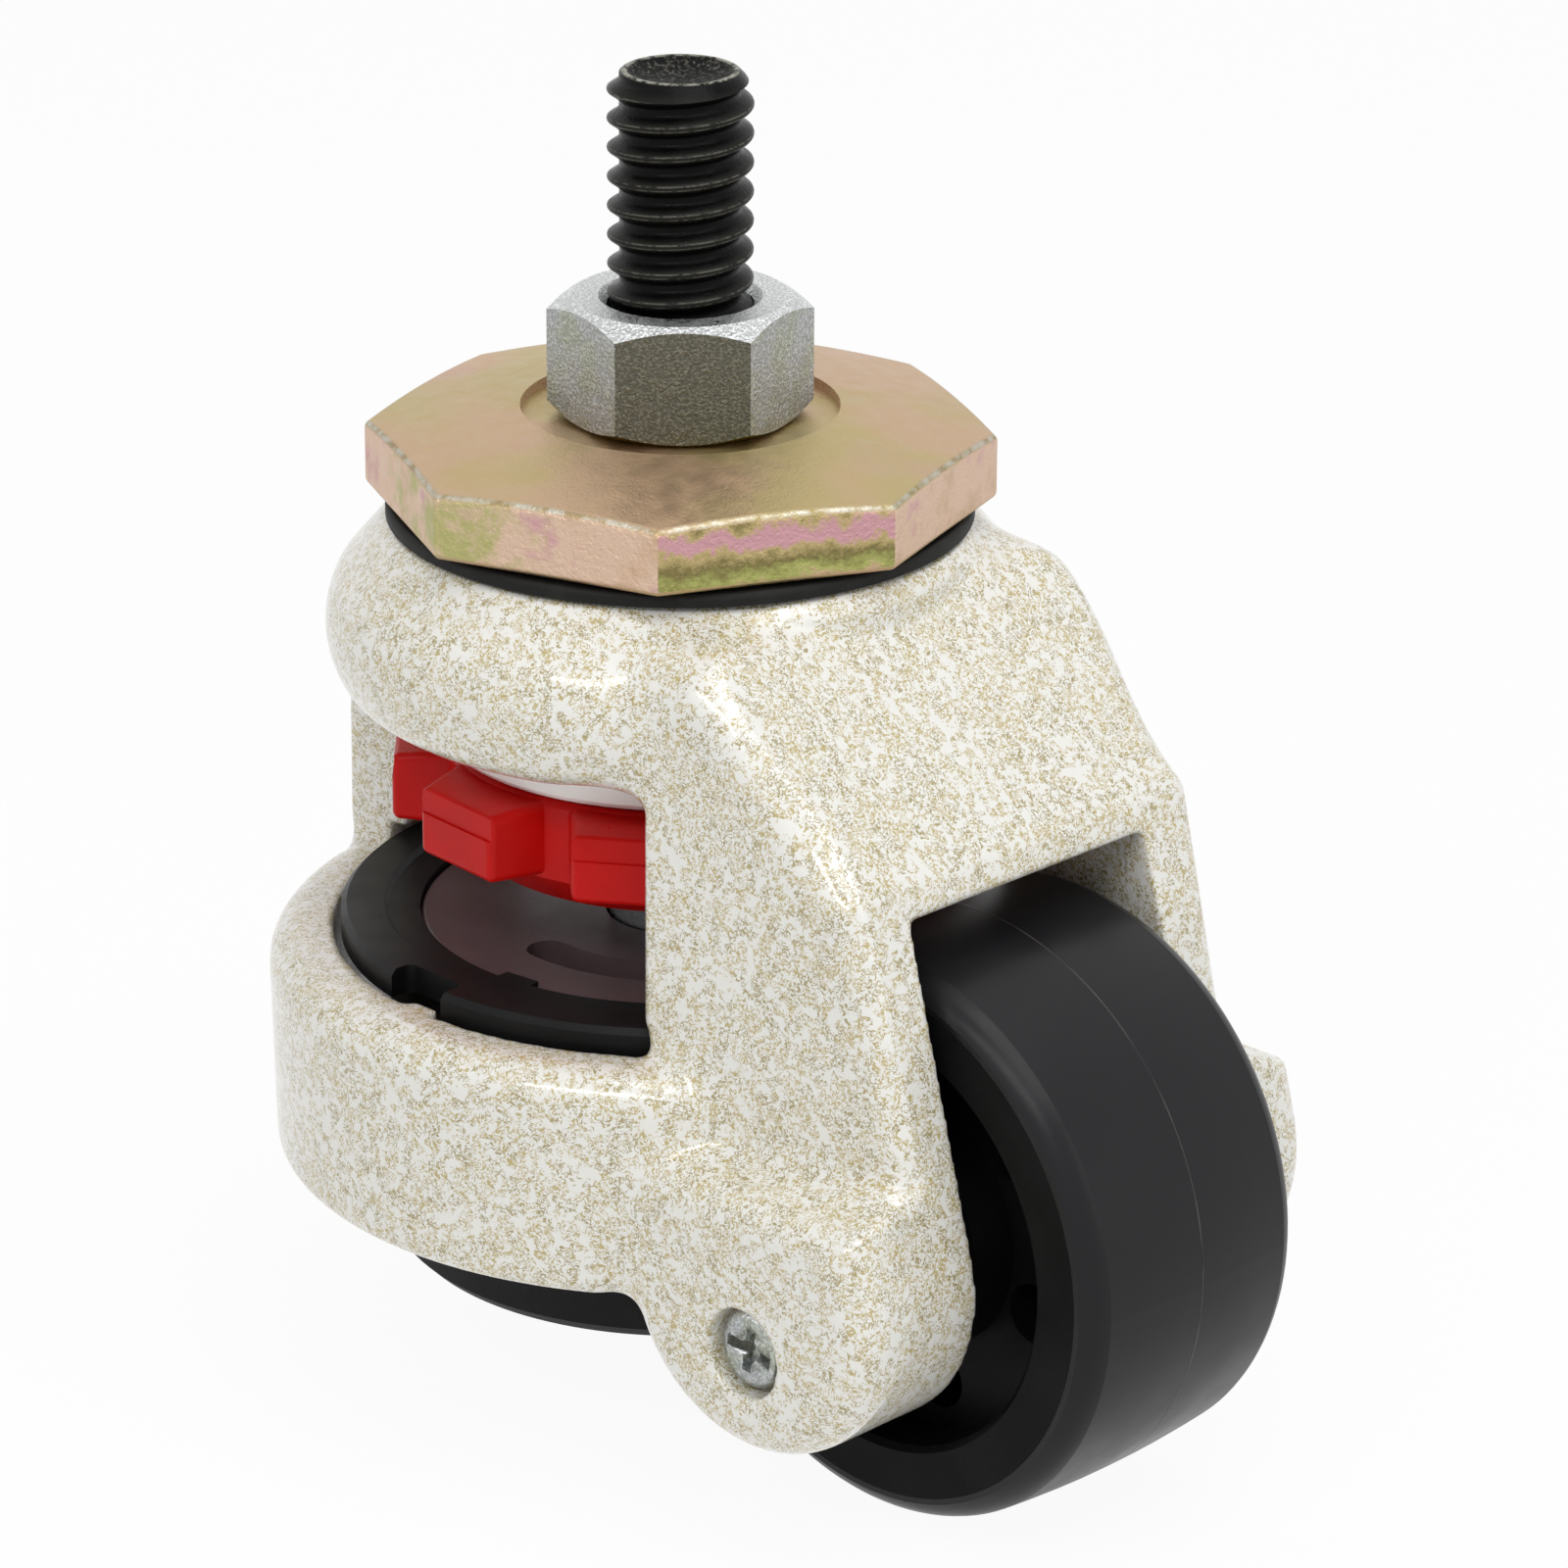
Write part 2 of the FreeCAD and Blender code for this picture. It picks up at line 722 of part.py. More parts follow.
def bore_keys():
    """Two keys in the ring's bore that stop the pad from turning."""
    key = box(key_offset - key_half_width, key_offset + key_half_width, bore_radius - key_reach, bore_radius + 1,
              ring_bottom + 1, ring_top)
    return on_both_sides(key)


def housing():
    """One-piece cast housing."""
    body = collar().fuse([lower_ring(), upper_block(), boss_block(), rear_post()])
    body = body.cut(cylinder(cavity_radius, ring_top - 1, collar_bottom))
    body = body.cut(cylinder(bore_radius, deep_z, bore_top))
    body = body.cut([window(1), window(-1), wheel_pocket()])
    body = body.cut(cylinder(cup_radius, cup_bottom, collar_top + 1))
    body = body.cut(cylinder(stud_radius + king_sleeve_wall + running_gap, web_bottom - 1, cup_bottom + 1))
    body = body.cut(cylinder(head_room_radius, collar_bottom - 1, web_bottom))
    spigot_top = collar_bottom + spigot_height + fit_gap
    body = body.cut(cylinder(spigot_outer + fit_gap, collar_bottom - 1, spigot_top))
    for side in (1, -1):
        body = body.cut(axle_seat(side))
        body = body.cut(lock_screw_hole(side))
    return body.fuse(bore_keys()).removeSplitter()


def thrust_washer():
    """White ring that carries the knob's thrust, with a spigot in the housing."""
    ring = turned([
        (spigot_inner, collar_bottom + spigot_height),
        (spigot_outer, collar_bottom + spigot_height),
        (spigot_outer, collar_bottom),
        (washer_outer, collar_bottom),
        (washer_outer, washer_bottom + edge_break),
        (washer_outer - edge_break, washer_bottom),
        (knob_neck_radius + running_gap, washer_bottom),
        (knob_neck_radius + running_gap, washer_bottom + washer_lip),
        (spigot_inner, washer_bottom + washer_lip),
    ])
    return ring


def knob_lobe(turn):
    """One lobe of the knob, with sloping flanks and top and a mould parting step on its face."""
    root = knob_hub_radius - lobe_root_depth
    points = []
    for radius, half in ((root, lobe_root_half_angle), (lobe_outer_radius, lobe_half_angle)):
        angle = math.radians(half)
        points.append((radius * math.cos(angle), radius * math.sin(angle)))
    (root_x, root_y), (tip_x, tip_y) = points
    bottom = knob_top - lobe_height
    above = knob_top + 1
    plan = outline([V(root_x, -root_y, bottom), V(tip_x, -tip_y, bottom), V(tip_x, tip_y, bottom),
                    V(root_x, root_y, bottom)])
    lobe = Part.Face(plan).extrude(V(0, 0, lobe_height))
    roof = outline([V(root_x, -root_y - 1, knob_top), V(tip_x, -root_y - 1, knob_top - lobe_top_fall),
                    V(tip_x + 1, -root_y - 1, above), V(root_x, -root_y - 1, above)])
    lobe = lobe.cut(Part.Face(roof).extrude(V(0, 2 * root_y + 2, 0)))

    def tip_edge(edge, middle):
        return middle.x > knob_hub_radius
    lobe = fillet_where(lobe, lobe_round, tip_edge)
    step_x = tip_x - lobe_parting_step
    lobe = lobe.cut(box(step_x, tip_x + 1, -root_y, root_y, knob_top - lobe_parting_drop, above))
    lobe.rotate(V(0, 0, 0), Z_AXIS, turn)
    return lobe


def adjusting_knob():
    """Lobed hand knob with a neck above and a hexagon pocket below."""
    body = turned([
        (0, neck_top),
        (knob_neck_radius, neck_top),
        (knob_neck_radius, knob_top),
        (knob_hub_radius - edge_break, knob_top),
        (knob_hub_radius, knob_top - edge_break),
        (knob_hub_radius, knob_bottom + knob_foot_height),
        (knob_foot_radius, knob_bottom),
        (0, knob_bottom),
    ])
    lobes = [knob_lobe(knob_turn + 360 * k / lobe_count) for k in range(lobe_count)]
    body = body.fuse(lobes)
    body = body.cut(tube(knob_neck_radius + 1, knob_neck_radius - ring_groove_depth, snap_ring_bottom,
                         snap_ring_bottom + snap_ring_height + fit_gap))
    body = body.cut(cylinder(screw_radius + slip_gap, knob_bottom - 1, neck_top + 1))
    body = body.cut(regular_prism(screw_hex_flats + 2 * fit_gap, 6, 0, knob_bottom - 1,
                                  knob_bottom + screw_hex_height))
    return body.removeSplitter()


def adjusting_screw():
    """Steel screw held in the knob by its hexagon, threaded into the pad."""
    end = knob_bottom - screw_end_drop
    shank = turned([
        (0, neck_top),
        (screw_radius - edge_break, neck_top),
        (screw_radius, neck_top - edge_break),
        (screw_radius, end + screw_lead),
        (screw_radius - screw_lead, end),
        (0, end),
    ])
    return shank.fuse(regular_prism(screw_hex_flats, 6, 0, knob_bottom, knob_bottom + screw_hex_height))


def snap_ring():
    """Open retaining ring in the knob's neck."""
    inner = knob_neck_radius - ring_groove_depth + fit_gap
    ring = tube(snap_ring_outer, inner, snap_ring_bottom, snap_ring_bottom + snap_ring_height)
    half = snap_ring_gap / 2
    return ring.cut(box(0, snap_ring_outer + 1, -half, half, snap_ring_bottom - 1, knob_top + washer_height))


def wheel_slot(low, high):
    """Tool for the slot through the pad in which the wheel runs."""
    return box(pad_slot_x, pad_rim_radius + 1, -pad_slot_half_width, pad_slot_half_width, low - 1, high + 1)


def kidney(low, high):
    """Curved slot with round ends."""
    ring = tube(kidney_radius + kidney_width / 2, kidney_radius - kidney_width / 2, low, high)
    start = math.radians(kidney_start)
    end = math.radians(kidney_end)
    middle = (start + end) / 2
    reach = 2 * pad_rim_radius
    corners = [V(0, 0, low)]
    for angle in (start, middle, end):
        corners.append(V(reach * math.cos(angle), reach * math.sin(angle), low))
    tool = ring.common(Part.Face(outline(corners)).extrude(V(0, 0, high - low)))
    for angle in (start, end):
        tool = tool.fuse(cylinder(kidney_width / 2, low, high, kidney_radius * math.cos(angle),
                                  kidney_radius * math.sin(angle)))
    return tool


def lug(gap):
    """Tongue of the pad's rim that reaches over the plate beside the notch."""
    half = math.radians(lug_half_angle)
    radius = lug_radius - gap
    reach = (pad_rim_inner + pad_rim_step_radius) / 2
    spread = half + gap / lug_radius
    points = []
    for r, sign in ((radius, -1), (reach, -1), (reach, 1), (radius, 1)):
        angle = math.radians(90 + lug_turn) + sign * spread
        points.append(V(r * math.cos(angle), r * math.sin(angle), pad_plate_bottom - gap))
    top = pad_rim_top - pad_rim_step_depth
    return Part.Face(outline(points)).extrude(V(0, 0, top - pad_plate_bottom + 2 * gap))


def rim_notch():
    """Notch in the pad's rim that clears the key in the housing's bore."""
    low = pad_rim_top - pad_rim_height - 1
    notch = box(notch_offset - notch_width / 2, notch_offset + notch_width / 2, pad_rim_radius - notch_reach,
                pad_rim_radius + 1, low, pad_rim_top + 1)

    def inner_corner(edge, middle):
        return abs(middle.z - (low + pad_rim_top + 1) / 2) < 0.1 and middle.y < pad_rim_radius
    return fillet_where(notch, notch_round, inner_corner)


def pad_plate():
    """Brown-grey plate let into the pad's rim, with two kidney slots."""
    disc = tube(pad_rim_inner - fit_gap, screw_radius + running_gap, pad_plate_bottom, pad_plate_top)

    def top_rim(edge, middle):
        outer = math.hypot(middle.x, middle.y) > pad_rim_inner - 1
        return outer and middle.z > pad_plate_top - 0.1
    disc = fillet_where(disc, edge_break, top_rim)
    disc = disc.cut(wheel_slot(pad_plate_bottom, pad_plate_top))
    disc = disc.cut(on_both_sides(kidney(pad_plate_bottom - 1, pad_plate_top + 1)))
    return disc.cut(on_both_sides(lug(fit_gap)))


def pad_body():
    """Black pad body: stepped rim with notches, and the skirt below."""
    bore = screw_radius + slip_gap + sleeve_wall + fit_gap
    seat = sleeve_flange_radius + fit_gap
    seat_bottom = pad_plate_bottom - sleeve_flange_height - fit_gap
    body = turned([
        (pad_rim_inner, pad_rim_top - pad_rim_step_depth),
        (pad_rim_step_radius, pad_rim_top - pad_rim_step_depth),
        (pad_rim_step_radius + pad_rim_step_depth, pad_rim_top),
        (pad_rim_radius - edge_break, pad_rim_top),
        (pad_rim_radius, pad_rim_top - edge_break),
        (pad_rim_radius, pad_rim_top - pad_rim_height),
        (pad_body_radius + pad_rim_root, pad_rim_top - pad_rim_height),
        (pad_body_radius, pad_rim_top - pad_rim_height - pad_rim_root),
        (pad_body_radius, pad_body_bottom),
        (bore, pad_body_bottom),
        (bore, seat_bottom),
        (seat, seat_bottom),
        (seat, pad_plate_bottom),
        (pad_rim_inner, pad_plate_bottom),
    ])
    body = body.fuse(on_both_sides(lug(0)))
    body = body.cut(wheel_slot(pad_body_bottom, pad_rim_top))
    body = body.cut(on_both_sides(rim_notch()))
    body = body.cut(on_both_sides(kidney(pad_plate_bottom - kidney_depth, pad_rim_top + 1)))
    return body.removeSplitter()


def threaded_sleeve():
    """Brass nut sleeve in the pad, with a flange under the plate."""
    inner = screw_radius + slip_gap
    return turned([
        (inner, pad_plate_bottom),
        (sleeve_flange_radius, pad_plate_bottom),
        (sleeve_flange_radius, pad_plate_bottom - sleeve_flange_height),
        (inner + sleeve_wall, pad_plate_bottom - sleeve_flange_height),
        (inner + sleeve_wall, pad_body_bottom),
        (inner, pad_body_bottom),
    ])


def pad_sole():
    """Rubber sole with two moulded grooves."""
    sole = turned([
        (0, pad_body_bottom),
        (pad_body_radius, pad_body_bottom),
        (pad_body_radius, pad_sole_bottom + pad_sole_chamfer),
        (pad_body_radius - pad_sole_chamfer, pad_sole_bottom),
        (0, pad_sole_bottom),
    ])
    for radius in sole_groove_radii:
        sole = sole.cut(tube(radius + sole_groove_width / 2, radius - sole_groove_width / 2,
                             pad_sole_bottom - 1, pad_sole_bottom + sole_groove_depth))
    return sole.cut(wheel_slot(pad_sole_bottom, pad_body_bottom))


def wheel_core():
    """Nylon wheel core: rim, web with round holes, and bearing hub."""
    half = wheel_width / 2
    rim = rim_radius - fit_gap
    core = turned_y([
        (bearing_outer + fit_gap, -wheel_hub_half_length),
        (wheel_hub_radius, -wheel_hub_half_length),
        (wheel_hub_radius, -web_half_thickness),
        (rim_recess_radius, -web_half_thickness),
        (rim_recess_radius, -half + edge_break),
        (rim_recess_radius + edge_break, -half),
        (rim, -half),
        (rim, half),
        (rim_recess_radius + edge_break, half),
        (rim_recess_radius, half - edge_break),
        (rim_recess_radius, web_half_thickness),
        (wheel_hub_radius, web_half_thickness),
        (wheel_hub_radius, wheel_hub_half_length),
        (bearing_outer + fit_gap, wheel_hub_half_length),
        (bearing_outer + fit_gap, bearing_in),
        (bearing_shoulder, bearing_in),
        (bearing_shoulder, -bearing_in),
        (bearing_outer + fit_gap, -bearing_in),
    ])
    for k in range(web_hole_count):
        angle = math.radians(web_hole_turn) + 2 * math.pi * k / web_hole_count
        core = core.cut(rod_y(web_hole_radius, -half, half, axle_x + web_hole_circle * math.cos(angle),
                              axle_z + web_hole_circle * math.sin(angle)))
    return core


def wheel_tyre():
    """Black tyre with a slight crown and rounded shoulders."""
    half = wheel_width / 2
    shoulder_y = (tread_flat_half + half) / 2 + tread_shoulder_bulge
    shoulder_r = tread_shoulder_radius - tread_shoulder_fall
    low = rim_radius + tyre_side_band
    return turned_y([
        (rim_radius, -half),
        (low, -half),
        "arc", (shoulder_r, -shoulder_y), (tread_shoulder_radius, -tread_flat_half),
        "arc", (wheel_radius, 0), (tread_shoulder_radius, tread_flat_half),
        "arc", (shoulder_r, shoulder_y), (low, half),
        (rim_radius, half),
    ])


def bearing_outer_rings():
    """Outer rings of the two shielded wheel bearings."""
    rings = []
    for low in (bearing_in, -bearing_out):
        ring = rod_y(bearing_outer, low, low + bearing_width)
        rings.append(ring.cut(rod_y(bearing_inner_ring + slip_gap, low - 1, low + bearing_width + 1)))
    return Part.makeCompound(rings)


def bearing_inner_rings():
    """Inner rings of the two wheel bearings, on the axle."""
    rings = []
    for low in (bearing_in, -bearing_out):
        ring = rod_y(bearing_inner_ring, low, low + bearing_width)
        rings.append(ring.cut(rod_y(axle_radius + fit_gap, low - 1, low + bearing_width + 1)))
    return Part.makeCompound(rings)


def axle_spacer():
    """Sleeve between the two inner rings."""
    sleeve = rod_y(bearing_inner_ring, -bearing_in, bearing_in)
    return sleeve.cut(rod_y(axle_radius + fit_gap, -bearing_out, bearing_out))


def leg_washers():
    """Washers between the bearings and the legs."""
    washers = []
    for low, high in ((bearing_out, leg_inner), (-leg_inner, -bearing_out)):
        washer = rod_y(leg_washer_radius, low, high)
        washers.append(washer.cut(rod_y(axle_radius + fit_gap, low - 1, high + 1)))
    return Part.makeCompound(washers)


def wheel_axle():
    """Plain pin whose ends sit in the blind slots of the legs."""
    reach = leg_inner + axle_seat_depth - running_gap
    pin = rod_y(axle_radius, -reach, reach)
    return pin.makeChamfer(edge_break, [e for e in pin.Edges if abs(e.CenterOfMass.y) > reach - 0.1])


def retaining_screws():
    """Pan-head screws that cross the slots just below the axle."""
    screws = []
    for side in (1, -1):
        seat = (boss_half_width - lock_screw_sink - lock_screw_head_height) * side
        face = (boss_half_width - lock_screw_sink) * side
        tip = (leg_inner + lock_screw_tip_gap) * side
        y_low, y_high = sorted((seat, face))
        head = rod_y(lock_screw_head_radius, y_low, y_high, z=lock_screw_z)

        def outer_rim(edge, middle):
            return abs(middle.y - face) < 0.01
        head = fillet_where(head, lock_screw_head_round, outer_rim)
        y_low, y_high = sorted((seat, tip))
        screws.append(head.fuse(rod_y(lock_screw_radius, y_low, y_high, z=lock_screw_z)))
    return Part.makeCompound(screws)


nodes = {
    "threaded_stud": threaded_stud,
    "lock_nut": lock_nut,
    "swivel_plate": swivel_plate,
    "king_sleeve": king_sleeve,
    "plate_race": plate_race,
    "upper_balls": lambda: ball_row(upper_ball_radius, upper_ball_circle, upper_ball_count, upper_ball_z),
    "housing_race": housing_race,
    "lower_balls": lambda: ball_row(lower_ball_radius, lower_ball_circle, lower_ball_count, lower_ball_z),
    "lower_race": lower_race,
    "bearing_seal": bearing_seal,
    "housing": housing,
    "thrust_washer": thrust_washer,
    "adjusting_knob": adjusting_knob,
    "adjusting_screw": adjusting_screw,
    "snap_ring": snap_ring,
    "pad_plate": pad_plate,
    "pad_body": pad_body,
    "threaded_sleeve": threaded_sleeve,
    "pad_sole": pad_sole,
    "wheel_core": wheel_core,
    "wheel_tyre": wheel_tyre,
    "bearing_outer_rings": bearing_outer_rings,
    "bearing_inner_rings": bearing_inner_rings,
    "axle_spacer": axle_spacer,
    "leg_washers": leg_washers,
    "wheel_axle": wheel_axle,
    "retaining_screws": retaining_screws,
}

os.makedirs("parts", exist_ok=True)
for name, make in nodes.items():
    shape = make()
    shape.exportStep("parts/" + name + ".step")
    print(name, "solids", len(shape.Solids), "valid", shape.isValid(), "volume", round(shape.Volume, 1))
print("levels: ring", round(ring_top, 2), round(ring_bottom, 2), "axle", round(axle_z, 2), "sole",
      round(pad_sole_bottom, 2))
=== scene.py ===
import math

import bpy
import numpy as np
from mathutils import Matrix, Vector


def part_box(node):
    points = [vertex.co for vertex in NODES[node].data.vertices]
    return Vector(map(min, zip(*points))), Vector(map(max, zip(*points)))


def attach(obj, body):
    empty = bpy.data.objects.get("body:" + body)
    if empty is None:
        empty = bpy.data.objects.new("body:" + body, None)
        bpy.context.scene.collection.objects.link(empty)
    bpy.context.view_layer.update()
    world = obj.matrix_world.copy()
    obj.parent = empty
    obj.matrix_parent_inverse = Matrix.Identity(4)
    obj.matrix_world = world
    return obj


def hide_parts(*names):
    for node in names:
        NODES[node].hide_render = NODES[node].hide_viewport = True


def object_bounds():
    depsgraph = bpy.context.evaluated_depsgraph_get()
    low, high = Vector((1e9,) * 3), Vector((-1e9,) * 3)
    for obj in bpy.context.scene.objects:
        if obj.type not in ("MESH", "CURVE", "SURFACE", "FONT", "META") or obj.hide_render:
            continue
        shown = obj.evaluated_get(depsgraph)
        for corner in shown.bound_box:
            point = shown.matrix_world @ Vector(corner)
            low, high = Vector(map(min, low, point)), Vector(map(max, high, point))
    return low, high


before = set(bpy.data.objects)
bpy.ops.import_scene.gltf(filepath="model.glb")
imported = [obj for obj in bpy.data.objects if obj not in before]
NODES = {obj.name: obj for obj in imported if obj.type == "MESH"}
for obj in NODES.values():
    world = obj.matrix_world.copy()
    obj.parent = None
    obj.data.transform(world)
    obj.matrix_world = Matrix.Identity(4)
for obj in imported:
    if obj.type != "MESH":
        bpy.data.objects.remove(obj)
CAD_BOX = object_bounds()

bl_info = {
    "name": "Levelling castor",
    "version": (1, 0, 0),
    "blender": (4, 5, 0),
    "location": "3D View > Sidebar > Castor",
    "description": "Finishes of a swivel castor with a levelling foot",
    "category": "Object",
}

MM = 0.001

# Places in metres that the pieces below share, taken from the frame
STUD_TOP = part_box("threaded_stud")[1].z
NUT_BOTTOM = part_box("lock_nut")[0].z
PLATE_LOW, PLATE_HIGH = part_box("swivel_plate")
WASHER_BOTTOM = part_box("thrust_washer")[0].z
PAD_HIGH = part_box("pad_body")[1]
SCREW_LOW, SCREW_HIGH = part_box("retaining_screws")
SCREW_AXIS = (SCREW_LOW + SCREW_HIGH) / 2

# The stud's thread, over its crests
STUD_RADIUS = 6.0 * MM

# The housing's bores, windows and fork, which its smoothing leaves alone
SCREW_HOLE_RADIUS = 3.8 * MM
BORE_RADIUS = PAD_HIGH.y + 0.6 * MM
CUP_RADIUS = 20.5 * MM
FORK_HALF_GAP = 13.75 * MM
WINDOW_TOP = WASHER_BOTTOM + 4.0 * MM
WINDOW_BOTTOM = PAD_HIGH.z - 1.8 * MM
WINDOW_FRONT = 18.65 * MM

# Directions that the finishes change towards, in degrees from the x axis towards y
PAINTED_DARK_FLAT = -43.3    # the nut's flat that is painted darker, a painted dark reflection
BANDED_WALL = -25.9       # the plate's wall with dark bands
GREEN_CORNER = -93.4      # the plate's corner where the film turns green


def to_linear(code):
    """Linear colour from an sRGB hex value such as #E6E2D8."""
    values = [int(code[k:k + 2], 16) / 255 for k in (1, 3, 5)]
    return tuple(v / 12.92 if v <= 0.04045 else ((v + 0.055) / 1.055) ** 2.4 for v in values)


def colour_property(label, words, code):
    """Colour property with an sRGB hex default."""
    return bpy.props.FloatVectorProperty(
        name=label, description=words, subtype="COLOR", size=3, min=0, max=1, default=to_linear(code))


class CastorSizes(bpy.types.PropertyGroup):
    """Sizes of the pieces that the solids leave plain."""
    thread_pitch: bpy.props.FloatProperty(
        name="Thread pitch", description="Rise of one turn of the stud's thread",
        default=2.45 * MM, unit="LENGTH", precision=5)
    thread_depth: bpy.props.FloatProperty(
        name="Thread depth", description="From crest to root of the stud's thread",
        default=1.05 * MM, unit="LENGTH", precision=5)
    casting_grain: bpy.props.FloatProperty(
        name="Casting grain", description="Mesh size of the cast housing",
        default=0.43 * MM, unit="LENGTH", precision=5)
    collar_blend: bpy.props.FloatProperty(
        name="Collar blend", description="Reach of the soft inside corners between collar and legs",
        default=6.0 * MM, unit="LENGTH", precision=5)
    ring_blend: bpy.props.FloatProperty(
        name="Ring blend", description="Reach of the inside corners round the lower ring and bosses",
        default=3.2 * MM, unit="LENGTH", precision=5)
    recess_width: bpy.props.FloatProperty(
        name="Cross recess width", description="Width of one arm of the screws' cross recess",
        default=0.95 * MM, unit="LENGTH", precision=5)
    floor_size: bpy.props.FloatProperty(
        name="Floor size", description="Side of the square floor",
        default=6.0, unit="LENGTH")


class CastorColours(bpy.types.PropertyGroup):
    """Base colours of the finishes."""
    enamel: colour_property("Enamel", "Pale ground of the speckled enamel", "#EFEEE8")
    enamel_speckle: colour_property("Enamel speckle", "Ochre threads in the enamel", "#C8AC6C")
    black_oxide: colour_property("Black oxide", "Blackened steel of the stud", "#090909")
    bright_zinc: colour_property("Bright zinc", "Blue-white zinc of nut and screws", "#C8CCCD")
    yellow_zinc: colour_property("Yellow zinc", "Passivated zinc of the swivel plate", "#C4A686")
    red_nylon: colour_property("Red nylon", "Adjusting knob", "#C00C08")
    black_nylon: colour_property("Black nylon", "Pad rim and wheel core", "#111112")
    tread: colour_property("Tread", "Black of the wheel's tyre", "#161619")
    pad_plate: colour_property("Pad plate", "Brown-grey plate in the pad", "#635254")
    washer: colour_property("Washer", "White acetal of the thrust washer", "#FAFAF8")


# Node trees

WHITE = (1, 1, 1, 1)
COLOUR = {"data_type": "RGBA"}
NOISE_RANGE = (0.3, 0.7)    # the values that nearly all of a noise lies between


def link(tree, source, socket):
    """Links an output, or the live output of a node, to an input."""
    if isinstance(source, bpy.types.Node):
        source = next(output for output in source.outputs if output.enabled)
    tree.links.new(source, socket)


def add(tree, kind, inputs=(), **settings):
    """Adds a shader node with its settings, and gives its inputs, in order or by name, values or links."""
    node = tree.nodes.new("ShaderNode" + kind)
    for key, value in settings.items():
        setattr(node, key, value)
    live = [socket for socket in node.inputs if socket.enabled]
    pairs = inputs.items() if isinstance(inputs, dict) else enumerate(inputs)
    for key, value in pairs:
        socket = node.inputs[key] if isinstance(key, str) else live[key]
        if isinstance(value, (bpy.types.Node, bpy.types.NodeSocket)):
            link(tree, value, socket)
        else:
            socket.default_value = value
    return node


def new_material(name):
    """Empty material with a principled shader; returns material, tree, shader and millimetre coordinates."""
    material = bpy.data.materials.new(name)
    material.use_nodes = True
    tree = material.node_tree
    tree.nodes.clear()
    shader = add(tree, "BsdfPrincipled")
    add(tree, "OutputMaterial", {"Surface": shader})
    place = add(tree, "TexCoord").outputs["Object"]
    millimetres = add(tree, "VectorMath", (place, (1 / MM, 1 / MM, 1 / MM)), operation="MULTIPLY")
    return material, tree, shader, millimetres


def set_shader(shader, **values):
    """Sets constants on the shader's own sockets; underscores stand for spaces."""
    for key, value in values.items():
        shader.inputs[key.replace("_", " ")].default_value = value


def dress(tree, shader, colour, height, depth, drift=None, roughness=None):
    """Links a shader's colour, its relief, as deep as given in millimetres, and a roughness that drifts."""
    link(tree, colour, shader.inputs["Base Color"])
    link(tree, add(tree, "Bump", {"Distance": depth * MM, "Height": height}), shader.inputs["Normal"])
    if drift is not None:
        spread = add(tree, "MapRange", (drift, *NOISE_RANGE, *roughness))
        link(tree, spread, shader.inputs["Roughness"])


def rgba(colour):
    """Colour with full alpha."""
    return (colour[0], colour[1], colour[2], 1.0)


def tinted(colour, red, green, blue):
    """Colour with its three parts scaled."""
    return (colour[0] * red, colour[1] * green, colour[2] * blue, 1.0)


def set_stops(ramp, stops):
    """Puts pairs of position and colour on a colour ramp."""
    elements = ramp.color_ramp.elements
    while len(elements) < len(stops):
        elements.new(0.5)
    for element, (position, colour) in zip(elements, stops):
        element.position = position
        element.color = colour
    return ramp


def mask(tree, *factors):
    """Product of factors, where (value, start, end) is a soft step from nought at start to one at end."""
    product = None
    for factor in factors:
        if isinstance(factor, tuple):
            factor = add(tree, "MapRange", factor, interpolation_type="SMOOTHSTEP")
        product = factor if product is None else add(tree, "Math", (product, factor), operation="MULTIPLY")
    return product


def facing(tree, normal, degrees):
    """Share of the surface that faces a compass direction, measured from the x axis towards y."""
    turn = math.radians(degrees)
    likeness = add(tree, "VectorMath", (normal, (math.cos(turn), math.sin(turn), 0)), operation="DOT_PRODUCT")
    return mask(tree, (likeness, 0.90, 0.97))


def distance_from_axis(tree, place):
    """Distance in millimetres from the king bolt's axis."""
    flat = add(tree, "VectorMath", (place, (1, 1, 0)), operation="MULTIPLY")
    return add(tree, "VectorMath", (flat,), operation="LENGTH")


# Finishes

